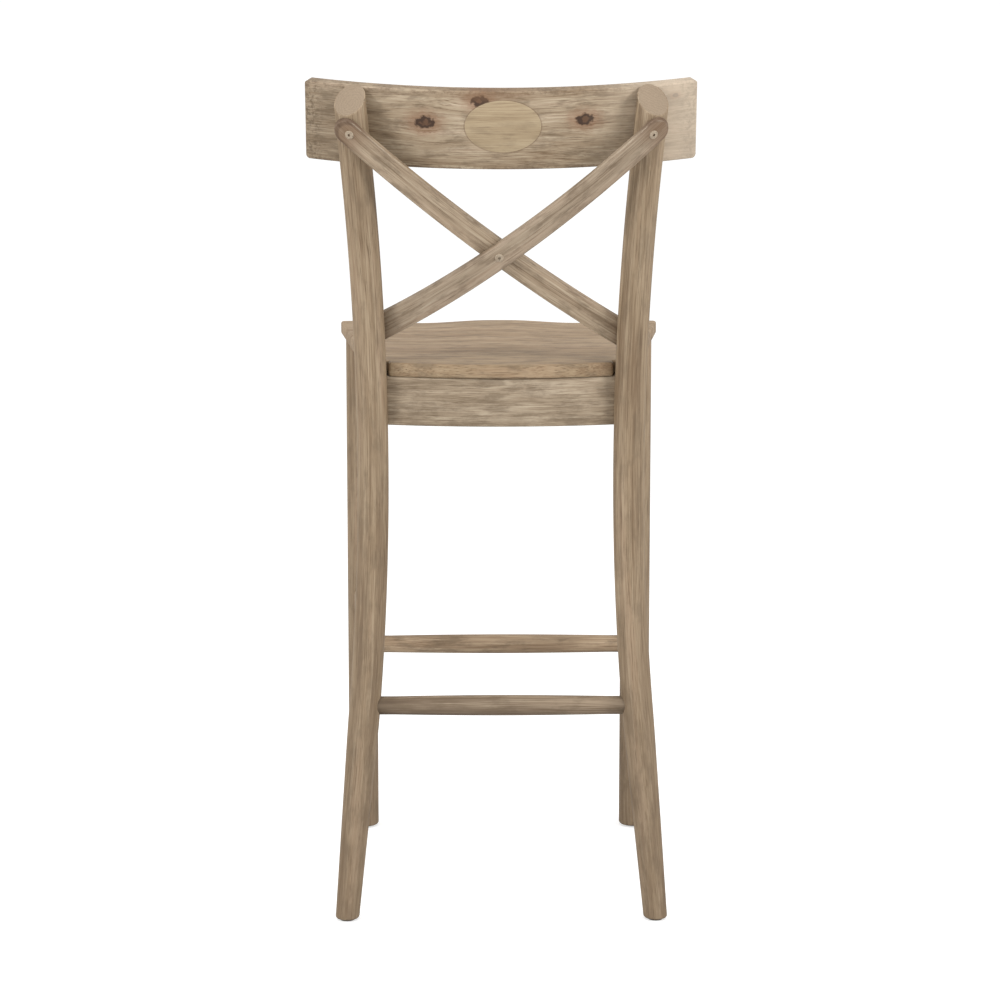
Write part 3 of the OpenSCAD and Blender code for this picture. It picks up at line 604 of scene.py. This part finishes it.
def bowed_bar(name, thick, high, half, steps):
    """A bar bowed to BOW_R: its rear face passes through the origin, which is also its lower edge."""
    swing = math.asin(half / BOW_R)
    unselect_all()
    bpy.ops.mesh.primitive_plane_add(size=1, location=(0, -thick / 2, high / 2), rotation=(0, math.pi / 2, 0))
    bpy.context.active_object.scale = (high, thick, 1)
    bar = open_piece(name)
    centre = (0, -BOW_R, 0)
    bpy.ops.transform.rotate(value=-swing, orient_axis="Z", center_override=centre)
    bpy.ops.mesh.spin(steps=steps, angle=2 * swing, center=centre, axis=(0, 0, 1))
    bpy.ops.mesh.select_all(action="SELECT")
    bpy.ops.mesh.remove_doubles(threshold=1e-6)
    bpy.ops.mesh.normals_make_consistent(inside=False)
    return bar


def bow_grain(co):
    """Along the bow, up the face, and through the thickness."""
    return (BOW_R * math.atan2(co.x, co.y + BOW_R), co.z, math.hypot(co.x, co.y + BOW_R) - BOW_R)


rear_apron = bowed_bar("rear_apron_board", APRON_T, APRON_H, REAR_APRON_HALF, 40)
bpy.context.tool_settings.mesh_select_mode = (False, True, False)
bpy.ops.mesh.select_all(action="DESELECT")
bpy.ops.mesh.edges_select_sharp(sharpness=math.radians(40))
bpy.ops.mesh.bevel(offset=0.0025, segments=3, affect="EDGES")
close_piece()
lay_grain(rear_apron, bow_grain, start=(0.9, 0.6, 0.1))
set_down(rear_apron, place=(0, REAR_APRON_Y, APRON_BOTTOM))
for piece, node in ((front_apron, "front_apron"), (rear_apron, "rear_apron"),
                    (side_apron_left, "side_apron_left"), (side_apron_right, "side_apron_right")):
    piece.data.materials.append(apron_wood)
    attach(piece, "root")
    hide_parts(node)

# ---- Seat ----
# Five boards glued edge to edge with their grain from side to side, cut to a trapezium with a bowed
# front, two shallow scoops for the legs and a tongue between the posts, then rounded over at the rim.

SEAT_TOP = 0.7515
FRONT_HALF, SIDE_HALF, TONGUE_HALF = 0.230, 0.181, 0.1515
FRONT_Y, FRONT_BOW = -0.25375, 0.008
NOTCH_Y = 0.1365
REAR_Y, REAR_BOW = 0.1793, 0.022
BOARD_JOINTS = (-0.176, -0.092, -0.010, 0.072)
SCOOP_X, SCOOP_HALF, SCOOP_DEPTH = 0.112, 0.100, 0.004
SEAM_EASE = 0.00035
EDGE_STEPS = 32
GRID_X, GRID_Y = 0.012, 0.0125
GRID_START = FRONT_Y - 0.002


def bowed_edge(half, y, bow):
    """Points from -half to half on an edge that bows by that much at its middle."""
    for step in range(EDGE_STEPS + 1):
        x = half * (2 * step / EDGE_STEPS - 1)
        yield (x, y + bow * (1 - (x / half) ** 2))


outline = list(bowed_edge(FRONT_HALF, FRONT_Y, -FRONT_BOW))
outline += [(SIDE_HALF, NOTCH_Y), (TONGUE_HALF, NOTCH_Y)]
outline += reversed(list(bowed_edge(TONGUE_HALF, REAR_Y - REAR_BOW, REAR_BOW)))
outline += [(-TONGUE_HALF, NOTCH_Y), (-SIDE_HALF, NOTCH_Y)]
unselect_all()
bpy.ops.mesh.primitive_circle_add(vertices=len(outline), radius=FRONT_HALF, fill_type="NGON")
for vertex, (x, y) in zip(bpy.context.active_object.data.vertices, outline):
    vertex.co = (x, y, SEAT_TOP)
blank = open_piece("seat_blank")
bpy.ops.mesh.extrude_region_move(TRANSFORM_OT_translate={"value": (0, 0, SEAT_BOTTOM - SEAT_TOP)})


def upright_at(x, y):
    return lambda e: all(abs(abs(v.co.x) - x) < 1e-4 and abs(v.co.y - y) < 1e-4 for v in e.verts)


for x, y, rounding in ((FRONT_HALF, FRONT_Y, 0.006), (TONGUE_HALF, REAR_Y - REAR_BOW, 0.004)):
    choose(blank, "EDGE", upright_at(x, y))
    bpy.ops.mesh.bevel(offset=rounding, segments=4, affect="EDGES")
choose(blank, "EDGE", lambda e: all(v.co.z > SEAT_TOP - 1e-5 for v in e.verts))
bpy.ops.mesh.bevel(offset=0.0032, segments=4, affect="EDGES")
choose(blank, "EDGE", lambda e: all(v.co.z < SEAT_BOTTOM + 1e-5 for v in e.verts))
bpy.ops.mesh.bevel(offset=0.0035, segments=3, affect="EDGES")
for step in range(-18, 19):
    saw((step * GRID_X, 0, 0), (1, 0, 0))
for step in range(35):
    saw((0, GRID_START + step * GRID_Y, 0), (0, 1, 0))
close_piece()
for vertex in blank.data.vertices:
    fade = max(0, (NOTCH_Y - vertex.co.y) / (NOTCH_Y - FRONT_Y))
    near = min(1, abs(abs(vertex.co.x) - SCOOP_X) / SCOOP_HALF)
    upper = min(1, max(0, (vertex.co.z - SEAT_BOTTOM) / (SEAT_TOP - SEAT_BOTTOM) * 2 - 1))
    vertex.co.z -= SCOOP_DEPTH * fade * (0.5 + 0.5 * math.cos(math.pi * near)) * upper

SEAT_TONES = (
    (stain(136, 112, 85), stain(158, 135, 107), stain(176, 156, 129)),
    (stain(128, 103, 77), stain(152, 129, 101), stain(172, 151, 124)),
    (stain(136, 112, 85), stain(158, 135, 107), stain(176, 156, 129)),
    (stain(126, 101, 75), stain(150, 127, 99), stain(170, 149, 122)),
    (stain(128, 104, 78), stain(150, 128, 100), stain(170, 150, 122)),
)
SEAT_KNOTS = {2: [((-0.125, 0.044, 0.0), 0.006)], 4: [((0.06, 0.10, 0.0), 0.004)]}
limits = (FRONT_Y - 0.1, *BOARD_JOINTS, REAR_Y + 0.1)
for number, (low_y, high_y) in enumerate(zip(limits, limits[1:]), start=1):
    seat_board = copy_piece(blank, f"seat_plank_{number}")
    bpy.ops.object.mode_set(mode="EDIT")
    for joint, ways in ((low_y, {"clear_inner": True}), (high_y, {"clear_outer": True})):
        if joint in BOARD_JOINTS:
            saw((0, joint, 0), (0, 1, 0), use_fill=True, **ways)
            bpy.ops.mesh.bevel(offset=SEAM_EASE, segments=1, affect="EDGES")
    close_piece()
    lay_grain(seat_board, start=(0.83 * number, 0, 0.06 * number))
    knots = [(Vector(p) + Vector((0.83 * number, 0, 0)), s) for p, s in SEAT_KNOTS.get(number, ())]
    dark, middle, pale = SEAT_TONES[number - 1]
    seat_board.data.materials.append(washed_wood(
        f"seat_wood_{number}", dark, middle, pale, width=0.0036, length=0.14, waviness=0.016,
        knots=knots))
    set_down(seat_board, smooth=30)
    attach(seat_board, "root")
    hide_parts(f"seat_board_{number}")
bpy.data.objects.remove(blank)

# ---- Crest rail ----
# One knotty board sawn to a bow and set leaning against the front of the posts, dowelled to them. Its
# corners are knocked off and worn, its ends are stained, and an oval patch is let into its rear face.

RAIL_HALF, RAIL_H, RAIL_T = 0.260, 0.1065, 0.022
RAIL_PLACE = (0, 0.2118, 1.0163)
RAIL_LEAN = math.radians(-12)
PATCH_X, PATCH_Z = -0.002, 0.0592
PATCH_L, PATCH_H, PATCH_T = 0.101, 0.071, 0.003
PATCH_PROUD = 0.0002


def rail_marks(tree, laid, lines, colour):
    """Rough saw stains at both ends, a brown streak under the top edge and a line round the patch that is
    partly painted shade; the end on the sitter's right is painted paler and the left end darker, partly the
    wood's own tone and partly painted light and shade.
    """
    ends = vector_calc(tree, "LENGTH", vector_calc(tree, "MULTIPLY", laid, (1.0, 0.0, 0.0)))
    rough = ramp_value(tree, noise(tree, laid, scale=150.0, detail=4.0, roughness=0.7), 0.45, 0.62)
    at_end = calc(tree, "MULTIPLY", ramp_value(tree, ends, 0.232, 0.258), rough)
    colour = mix_colour(tree, calc(tree, "MULTIPLY", at_end, 0.75), colour, stain(84, 68, 50))
    from_middle = vector_calc(tree, "SUBTRACT", laid, (0.0, RAIL_H / 2, 0.0))
    up_face = vector_calc(tree, "LENGTH", vector_calc(tree, "MULTIPLY", from_middle, (0.0, 1.0, 0.0)))
    at_edge = calc(tree, "MULTIPLY", ramp_value(tree, up_face, RAIL_H / 2 - 0.010, RAIL_H / 2), rough)
    colour = mix_colour(tree, calc(tree, "MULTIPLY", at_edge, 0.5), colour, stain(96, 74, 54))
    # The dark line round the patch is partly the seam's colour and partly painted shade, where the gap round
    # the patch would be shaded.
    gap = vector_calc(tree, "SUBTRACT", laid, (PATCH_X, PATCH_Z, 0.0))
    gap = vector_calc(tree, "MULTIPLY", gap, (2 / PATCH_L, 2 / PATCH_H, 0.0))
    off = calc(tree, "ABSOLUTE", calc(tree, "SUBTRACT", vector_calc(tree, "LENGTH", gap), 1.0))
    parts = split(tree, laid)
    line = calc(tree, "MULTIPLY", ramp_value(tree, off, 0.045, 0.0),
                ramp_value(tree, parts[2], -PATCH_T - 0.002, -PATCH_T))
    colour = mix_colour(tree, calc(tree, "MULTIPLY", line, 0.55), colour, stain(104, 82, 58))
    gap = vector_calc(tree, "SUBTRACT", laid, (0.012, RAIL_H - 0.006, 0.0))
    gap = vector_calc(tree, "MULTIPLY", gap, (1 / 0.075, 1 / 0.010, 0.0))
    near = ramp_value(tree, vector_calc(tree, "LENGTH", gap), 1.1, 0.3)
    colour = mix_colour(tree, calc(tree, "MULTIPLY", near, calc(tree, "MULTIPLY", lines["Streaks"], 0.9)),
                        colour, stain(116, 86, 60))
    # Painted light: the end on the sitter's right is painted paler, as if lit from that side, partly also the
    # wood's own paler tone.
    paler = ramp_value(tree, parts[0], -0.10, -0.25)
    colour = mix_colour(tree, calc(tree, "MULTIPLY", paler, 0.55), colour, stain(204, 188, 168))
    # Painted shade: the end on the sitter's left is painted darker, as if in shade, partly also the wood's
    # own darker tone.
    darker = calc(tree, "MULTIPLY", ramp_value(tree, parts[0], 0.12, 0.25), lines["Mottle"])
    return mix_colour(tree, calc(tree, "MULTIPLY", darker, 0.7), colour, stain(112, 96, 76))


rail_wood = washed_wood(
    "rail_wood", stain(130, 109, 85), stain(163, 145, 121), stain(192, 176, 153),
    width=0.0032, length=0.12, waviness=0.030, stain_rule=rail_marks,
    knots=(((0.101, 0.0629, 0.0), 0.0088), ((0.029, 0.0925, 0.0), 0.0078), ((-0.110, 0.0667, 0.0), 0.0080),
           ((-0.234, 0.0900, 0.0), 0.0030)))
crest_rail = bowed_bar("crest_rail_board", RAIL_T, RAIL_H, RAIL_HALF, 72)


def from_bow_centre(vertex):
    return math.hypot(vertex.co.x, vertex.co.y + BOW_R)


def end_corner(high):
    """Edges through the thickness at the corners of the rail's ends, lower or upper."""
    def test(edge):
        at_end = all(abs(v.co.x) > RAIL_HALF - RAIL_T / 2 and abs(v.co.z - high) < 1e-5 for v in edge.verts)
        start, end = (from_bow_centre(v) for v in edge.verts)
        return at_end and edge.calc_face_angle(0) > 1 and abs(start - end) > RAIL_T / 2
    return test


for high, rounding in ((0, 0.006), (RAIL_H, 0.003)):
    choose(crest_rail, "EDGE", end_corner(high))
    bpy.ops.mesh.bevel(offset=rounding, segments=5, affect="EDGES")
bpy.ops.mesh.select_all(action="DESELECT")
bpy.ops.mesh.edges_select_sharp(sharpness=math.radians(40))
bpy.ops.mesh.bevel(offset=0.0026, segments=3, affect="EDGES")
close_piece()
lay_grain(crest_rail, bow_grain)
crest_rail.data.materials.append(rail_wood)
set_down(crest_rail, place=RAIL_PLACE, turn=(RAIL_LEAN, 0, 0))

unselect_all()
bpy.ops.mesh.primitive_circle_add(vertices=96, radius=0.5, fill_type="NGON", rotation=(-math.pi / 2, 0, 0),
                                  location=(PATCH_X, 0, PATCH_Z))
bpy.context.active_object.scale = (PATCH_L, PATCH_H, 1)
patch = open_piece("oval_patch")
bpy.ops.mesh.extrude_region_move(TRANSFORM_OT_translate={"value": (0, -PATCH_T, 0)})
choose(patch, "EDGE", lambda e: all(v.co.y > -1e-6 for v in e.verts))
bpy.ops.mesh.bevel(offset=0.0006, segments=2, affect="EDGES")
for step in range(-7, 8):
    saw((PATCH_X + step * 0.007, 0, 0), (1, 0, 0))
close_piece()
lay_grain(patch, lambda co: (co.x, co.z, co.y), start=(5.0, 0.4, 0))
for vertex in patch.data.vertices:
    vertex.co.y += math.sqrt(BOW_R ** 2 - vertex.co.x ** 2) - BOW_R + PATCH_PROUD
patch.data.materials.append(washed_wood(
    "patch_wood", stain(152, 132, 104), stain(170, 151, 122), stain(184, 166, 138), width=0.0026,
    length=0.11, waviness=0.004, contrast=0.9, pores=0.3, wear_and_highlight=0.1, mottle=0.25, redness=0.0))
set_down(patch, place=RAIL_PLACE, turn=(RAIL_LEAN, 0, 0))
for piece, node in ((crest_rail, "crest_rail"), (patch, "rail_oval_patch")):
    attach(piece, "root")
    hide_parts(node)

# ---- Cross slats ----
# Two thin boards with round ends, bent to a bow and crossed behind the sitter's back. They are screwed
# through to the posts at both ends, and the outer one, with the flatter run, is screwed to the inner one.

SLAT_W, SLAT_T = 0.0335, 0.010
OUTER_BOW, INNER_BOW = 0.450, 0.6205
SLAT_TOP = Vector((0.199, 0.2405, 1.065))
SLAT_FEET = {OUTER_BOW: Vector((0.171, 0.1432, 0.7915)), INNER_BOW: Vector((0.171, 0.1423, 0.7825))}
END_RUN = 0.004


def sag(r, x):
    return r - math.sqrt(r * r - x * x)


def slat_lean(r):
    rise = SLAT_TOP - SLAT_FEET[r]
    drop = sag(r, SLAT_TOP.x) - sag(r, SLAT_FEET[r].x)
    return math.atan2(rise.y, rise.z) + math.asin(drop / math.hypot(rise.y, rise.z))


def up_slope(point, lean):
    return point.y * math.sin(lean) + point.z * math.cos(lean)


def slat_depth(r):
    lean = slat_lean(r)
    return SLAT_TOP.y * math.cos(lean) - SLAT_TOP.z * math.sin(lean) + sag(r, SLAT_TOP.x)


def bent_slat(name, r, side, wood, shift):
    """A slat whose upper end is on that side: 1 is the sitter's left, -1 the right."""
    lean = slat_lean(r)
    top = Vector((side * SLAT_TOP.x, up_slope(SLAT_TOP, lean)))
    foot = Vector((-side * SLAT_FEET[r].x, up_slope(SLAT_FEET[r], lean)))
    way = (top - foot).normalized()
    length = (top - foot).length + 2 * END_RUN
    start = foot - way * END_RUN
    unselect_all()
    bpy.ops.mesh.primitive_circle_add(vertices=48, radius=SLAT_W / 2, fill_type="NGON")
    slat = open_piece(name)
    choose(slat, "VERT", lambda v: v.co.x > 1e-6)
    bpy.ops.transform.translate(value=(length, 0, 0))
    bpy.ops.mesh.select_all(action="SELECT")
    bpy.ops.mesh.extrude_region_move(TRANSFORM_OT_translate={"value": (0, 0, -SLAT_T)})
    choose(slat, "EDGE", lambda e: abs(e.verts[0].co.z - e.verts[1].co.z) < 1e-6)
    bpy.ops.mesh.bevel(offset=0.0016, segments=3, affect="EDGES")
    for step in range(1, 44):
        saw((length * step / 44, 0, 0), (1, 0, 0))
    close_piece()
    lay_grain(slat, start=(shift, 0.3 * shift, 0))
    for vertex in slat.data.vertices:
        along, across, deep = vertex.co.x, vertex.co.y, -vertex.co.z
        spot = start + way * along + Vector((-way.y, way.x)) * across
        bow = math.sqrt((r - deep) ** 2 - spot.x ** 2) - r
        vertex.co = (spot.x, slat_depth(r) + bow, spot.y)
    bpy.ops.object.mode_set(mode="EDIT")
    close_piece()
    slat.data.materials.append(wood)
    set_down(slat, turn=(-lean, 0, 0))
    return slat


def slat_wood(name, dark, middle, pale, shift, length=0.48):
    """Slat wood, darker and redder where the round ends took up more stain."""
    def end_stain(tree, laid, lines, colour):
        centred = vector_calc(tree, "SUBTRACT", laid, (shift + length / 2, 0.3 * shift, 0.0))
        off, across, _ = split(tree, vector_calc(tree, "ABSOLUTE", centred))
        near_end = ramp_value(tree, off, length / 2 - 0.034, length / 2 + 0.004)
        colour = mix_colour(tree, calc(tree, "MULTIPLY", near_end, 0.6), colour, stain(108, 80, 57))
        past = calc(tree, "MAXIMUM", calc(tree, "SUBTRACT", off, length / 2), 0.0)
        squares = calc(tree, "ADD", calc(tree, "MULTIPLY", past, past),
                       calc(tree, "MULTIPLY", across, across))
        rim = ramp_value(tree, calc(tree, "SQRT", squares), SLAT_W / 2 - 0.0042, SLAT_W / 2 - 0.0012)
        rim = calc(tree, "MULTIPLY", rim, calc(tree, "MULTIPLY_ADD", lines["Mottle"], 1.1, -0.05, clamp=True))
        return mix_colour(tree, calc(tree, "MULTIPLY", rim, calc(tree, "MULTIPLY_ADD", near_end, 0.7, 0.2)),
                          colour, stain(70, 50, 37))
    # The slats' strong edge wear is also a painted highlight along their edges.
    return washed_wood(name, dark, middle, pale, width=0.0026, length=0.17, waviness=0.006,
                       wear_and_highlight=0.8, stain_rule=end_stain)


OUTER_SHIFT, INNER_SHIFT = 6.0, 7.3
outer_slat = bent_slat("bent_slat_outer", OUTER_BOW, -1, slat_wood(
    "outer_slat_wood", stain(132, 113, 92), stain(156, 139, 118), stain(177, 162, 142), OUTER_SHIFT),
    OUTER_SHIFT)
inner_slat = bent_slat("bent_slat_inner", INNER_BOW, 1, slat_wood(
    "inner_slat_wood", stain(132, 112, 89), stain(160, 141, 118), stain(184, 168, 145), INNER_SHIFT),
    INNER_SHIFT)
for piece, node in ((outer_slat, "cross_slat_outer"), (inner_slat, "cross_slat_inner")):
    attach(piece, "root")
    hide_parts(node)

# ---- Slat screws ----
# Round-headed steel furniture screws with a hexagon socket, painted to match the wood, with the socket
# painted dark as shade. One holds the slats to each other where they cross, and four hold their ends to the
# posts.

HEAD_R, HEAD_H, HEAD_SINK = 0.006, 0.0026, 0.0014
SHANK_R = 0.0025
SOCKET_R, SOCKET_DEEP = 0.0020, 0.0016
CROSS_X = 0.0026


def screw(name, shank):
    """A screw along Z, with the wood's face at Z = 0."""
    unselect_all()
    bpy.ops.mesh.primitive_cylinder_add(vertices=48, radius=HEAD_R, depth=HEAD_H,
                                        location=(0, 0, HEAD_H / 2 - HEAD_SINK))
    piece = open_piece(name)
    choose(piece, "EDGE", lambda e: all(v.co.z > 0 for v in e.verts))
    bpy.ops.mesh.bevel(offset=0.0011, segments=4, affect="EDGES")
    choose(piece, "FACE", lambda f: f.normal.z > 0.999)
    bpy.ops.mesh.inset(thickness=HEAD_R - 0.0011 - SOCKET_R)
    shape = bmesh.from_edit_mesh(piece.data)
    for vertex in shape.verts:
        if vertex.select:
            angle = math.atan2(vertex.co.y, vertex.co.x) % (math.pi / 3) - math.pi / 6
            reach = SOCKET_R * math.cos(math.pi / 6) / math.cos(angle)
            vertex.co.xy = vertex.co.xy.normalized() * reach
    bmesh.update_edit_mesh(piece.data)
    bpy.ops.mesh.extrude_region_move(TRANSFORM_OT_translate={"value": (0, 0, -SOCKET_DEEP)})
    choose(piece, "FACE", lambda f: f.normal.z < -0.999)
    bpy.ops.mesh.inset(thickness=HEAD_R - SHANK_R)
    bpy.ops.mesh.extrude_region_move(TRANSFORM_OT_translate={"value": (0, 0, HEAD_SINK - shank)})
    close_piece()
    # The socket's faces take the second slot, a dark material that paints the shade in the recess.
    for face in piece.data.polygons:
        if face.center.xy.length < SOCKET_R and face.center.z > HEAD_H - HEAD_SINK - SOCKET_DEEP - 1e-5:
            face.material_index = 1
    return piece


def on_slat_face(r, x, slope):
    """Takes Z out of a slat's rear face at x, at that height up its slope."""
    return (Matrix.Rotation(-slat_lean(r), 4, "X") @ Matrix.Translation((0, slat_depth(r) - r, slope))
            @ Matrix.Rotation(-math.asin(x / r), 4, "Z") @ Matrix.Translation((0, r, 0))
            @ Matrix.Rotation(-math.pi / 2, 4, "X"))


def painted_metal(name, paint, bare):
    """Paint that has worn off in specks, over steel."""
    metal, tree, shader = new_finish(name)
    where = on_object(tree)
    specks = ramp_value(tree, noise(tree, where, scale=900.0, detail=3.0), 0.58, 0.66)
    cloud = noise(tree, where, scale=300.0)
    tint = mix_colour(tree, calc(tree, "MULTIPLY", cloud, 0.8), paint, stain(116, 96, 74))
    feed(tree, shader.inputs["Base Color"], mix_colour(tree, specks, tint, bare))
    feed(tree, shader.inputs["Metallic"], calc(tree, "MULTIPLY", specks, 0.8))
    feed(tree, shader.inputs["Roughness"], calc(tree, "MULTIPLY_ADD", cloud, 0.3, 0.35))
    add_relief(tree, shader, cloud, strength=0.3, distance=0.0001)
    return metal


head_paint = painted_metal("head_paint", stain(188, 172, 150), stain(124, 116, 104))
# Painted shade: a dark finish for the screw sockets, where shade falls in the recess.
socket_painted_shade = painted_metal("socket_painted_shade", stain(62, 50, 40), stain(84, 74, 64))
outer_slope, inner_slope = (up_slope(SLAT_TOP, slat_lean(r)) for r in (OUTER_BOW, INNER_BOW))
outer_foot, inner_foot = (up_slope(SLAT_FEET[r], slat_lean(r)) for r in (OUTER_BOW, INNER_BOW))
share = (SLAT_TOP.x + CROSS_X) / (SLAT_TOP.x + SLAT_FEET[OUTER_BOW].x)
cross_slope = outer_slope * (1 - share) + outer_foot * share
front_side = Matrix.Translation((0, 0, -SLAT_T)) @ Matrix.Rotation(math.pi, 4, "X")
SCREWS = (
    ("cross_screw", 0.020, [on_slat_face(OUTER_BOW, CROSS_X, cross_slope)]),
    ("slat_top_screws", 0.034, [on_slat_face(OUTER_BOW, -SLAT_TOP.x, outer_slope),
                                on_slat_face(INNER_BOW, SLAT_TOP.x, inner_slope)]),
    ("slat_foot_screws", 0.030, [on_slat_face(OUTER_BOW, SLAT_FEET[OUTER_BOW].x, outer_foot) @ front_side,
                                 on_slat_face(INNER_BOW, -SLAT_FEET[INNER_BOW].x, inner_foot) @ front_side]),
)
for node, shank, places in SCREWS:
    pattern = screw("screw_pattern", shank)
    for number, place in enumerate(places, start=1):
        piece = copy_piece(pattern, f"{node}_head_{number}")
        piece.matrix_world = place
        bpy.ops.object.transform_apply(location=True, rotation=True, scale=True)
        bpy.ops.object.shade_smooth_by_angle(angle=math.radians(35))
        for material in (head_paint, socket_painted_shade):
            piece.data.materials.append(material)
        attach(piece, "root")
        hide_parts(node)
    bpy.data.objects.remove(pattern)

# ---- Hidden joinery ----
# What holds the stool together out of sight: glued corner blocks of unfinished wood with a bolt into
# each leg, screws up into the seat, dowels between rail and posts, and a nylon glide under each foot.


def dress_node(node, material):
    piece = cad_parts[node]
    if not piece.material_slots:
        piece.data.materials.append(material)
    for entry in piece.material_slots:
        entry.material = material


def raw_wood(name):
    """Planed wood without a finish, with its grain up and down."""
    wood, tree, shader = new_finish(name)
    upright = tree.nodes.new("ShaderNodeMapping")
    upright.inputs["Rotation"].default_value = (0, math.pi / 2, 0)
    tree.links.new(on_object(tree), upright.inputs["Vector"])
    lines = use_group(tree, brushed_grain, Grain=upright.outputs[0], Width=0.003, Length=0.10, Waviness=0.004)
    tone = calc(tree, "MULTIPLY_ADD", lines["Bands"], 0.5, calc(tree, "MULTIPLY", lines["Streaks"], 0.5))
    colour = mix_colour(tree, ramp_value(tree, tone, 0.38, 0.62), stain(186, 158, 118), stain(214, 190, 152))
    feed(tree, shader.inputs["Base Color"], colour)
    feed(tree, shader.inputs["Roughness"], calc(tree, "MULTIPLY_ADD", lines["Pores"], 0.2, 0.62))
    add_relief(tree, shader, lines["Pores"], strength=0.3, distance=0.0004)
    return wood


def zinc_plate(name):
    """Bright zinc with a faint mottle."""
    metal, tree, shader = new_finish(name)
    where = on_object(tree)
    mottle = noise(tree, where, scale=400.0, detail=3.0)
    plate = mix_colour(tree, mottle, stain(150, 152, 150), stain(205, 206, 202))
    feed(tree, shader.inputs["Base Color"], plate)
    shader.inputs["Metallic"].default_value = 1.0
    feed(tree, shader.inputs["Roughness"], calc(tree, "MULTIPLY_ADD", mottle, 0.3, 0.25))
    return metal


def glide_nylon(name):
    """Dark moulded nylon with a fine spark texture, scuffed by the floor."""
    nylon, tree, shader = new_finish(name)
    where = on_object(tree)
    spark = noise(tree, where, scale=1600.0, detail=2.0)
    scuff = ramp_value(tree, noise(tree, where, scale=160.0), 0.52, 0.68)
    feed(tree, shader.inputs["Base Color"], mix_colour(tree, scuff, stain(70, 64, 58), stain(104, 97, 88)))
    feed(tree, shader.inputs["Roughness"], calc(tree, "MULTIPLY_ADD", spark, 0.3, 0.45))
    add_relief(tree, shader, spark, strength=0.3, distance=0.0001)
    return nylon


block_wood = raw_wood("block_wood")
bolt_zinc = zinc_plate("bolt_zinc")
for node in ("corner_block_front_left", "corner_block_front_right", "corner_block_rear_left",
             "corner_block_rear_right", "rail_dowels"):
    dress_node(node, block_wood)
for node in ("corner_bolts", "seat_screws"):
    dress_node(node, bolt_zinc)
dress_node("foot_glides", glide_nylon("glide_nylon"))

# ---- Studio ----
# A seamless pale floor, an even white surround, and large soft lights: a pair behind the stool, well out
# to its left and right, and a weaker one overhead.

unselect_all()
bpy.ops.mesh.primitive_plane_add(size=90, location=(0, 0, -0.0003))
floor = bpy.context.active_object
floor.name = "studio_floor"
paint, tree, shader = new_finish("floor_paint")
flat_white = shader.inputs
flat_white["Base Color"].default_value = (0.66, 0.66, 0.66, 1)
flat_white["Roughness"].default_value = 0.9
flat_white["Specular IOR Level"].default_value = 0.1
flat_white["Emission Color"].default_value = (1, 1, 1, 1)
seen_rays = tree.nodes.new("ShaderNodeLightPath").outputs["Is Camera Ray"]
feed(tree, flat_white["Emission Strength"], calc(tree, "MULTIPLY", seen_rays, 0.54))
floor.data.materials.append(paint)

surround = bpy.data.worlds.new("surround")
surround.use_nodes = True
surround.node_tree.nodes["Background"].inputs["Color"].default_value = (1, 1, 1, 1)
surround.node_tree.nodes["Background"].inputs["Strength"].default_value = 0.76
bpy.context.scene.world = surround

AIM = Vector((0, 0, 0.6))
for name, place, size, power in (("right_light", (-3.7, 2.8, 2.5), 1.4, 112),
                                 ("left_light", (3.7, 2.8, 2.5), 1.4, 108),
                                 ("top_light", (0, 0.3, 3.6), 2.5, 25)):
    place = Vector(place)
    bpy.ops.object.light_add(type="AREA", location=place,
                             rotation=(place - AIM).to_track_quat("Z", "Y").to_euler())
    light = bpy.context.active_object
    light.name = name
    light.data.size = size
    light.data.energy = power

bpy.ops.object.camera_add(location=(0.040, 5.002, 1.482),
                          rotation=(math.radians(79.26), 0, math.pi - math.atan2(0.040, 5.002)))
camera = bpy.context.active_object
camera.data.sensor_width = 36
camera.data.lens = 130.9
camera.data.clip_end = 200
bpy.context.scene.camera = camera
bpy.context.scene.view_settings.view_transform = "Standard"
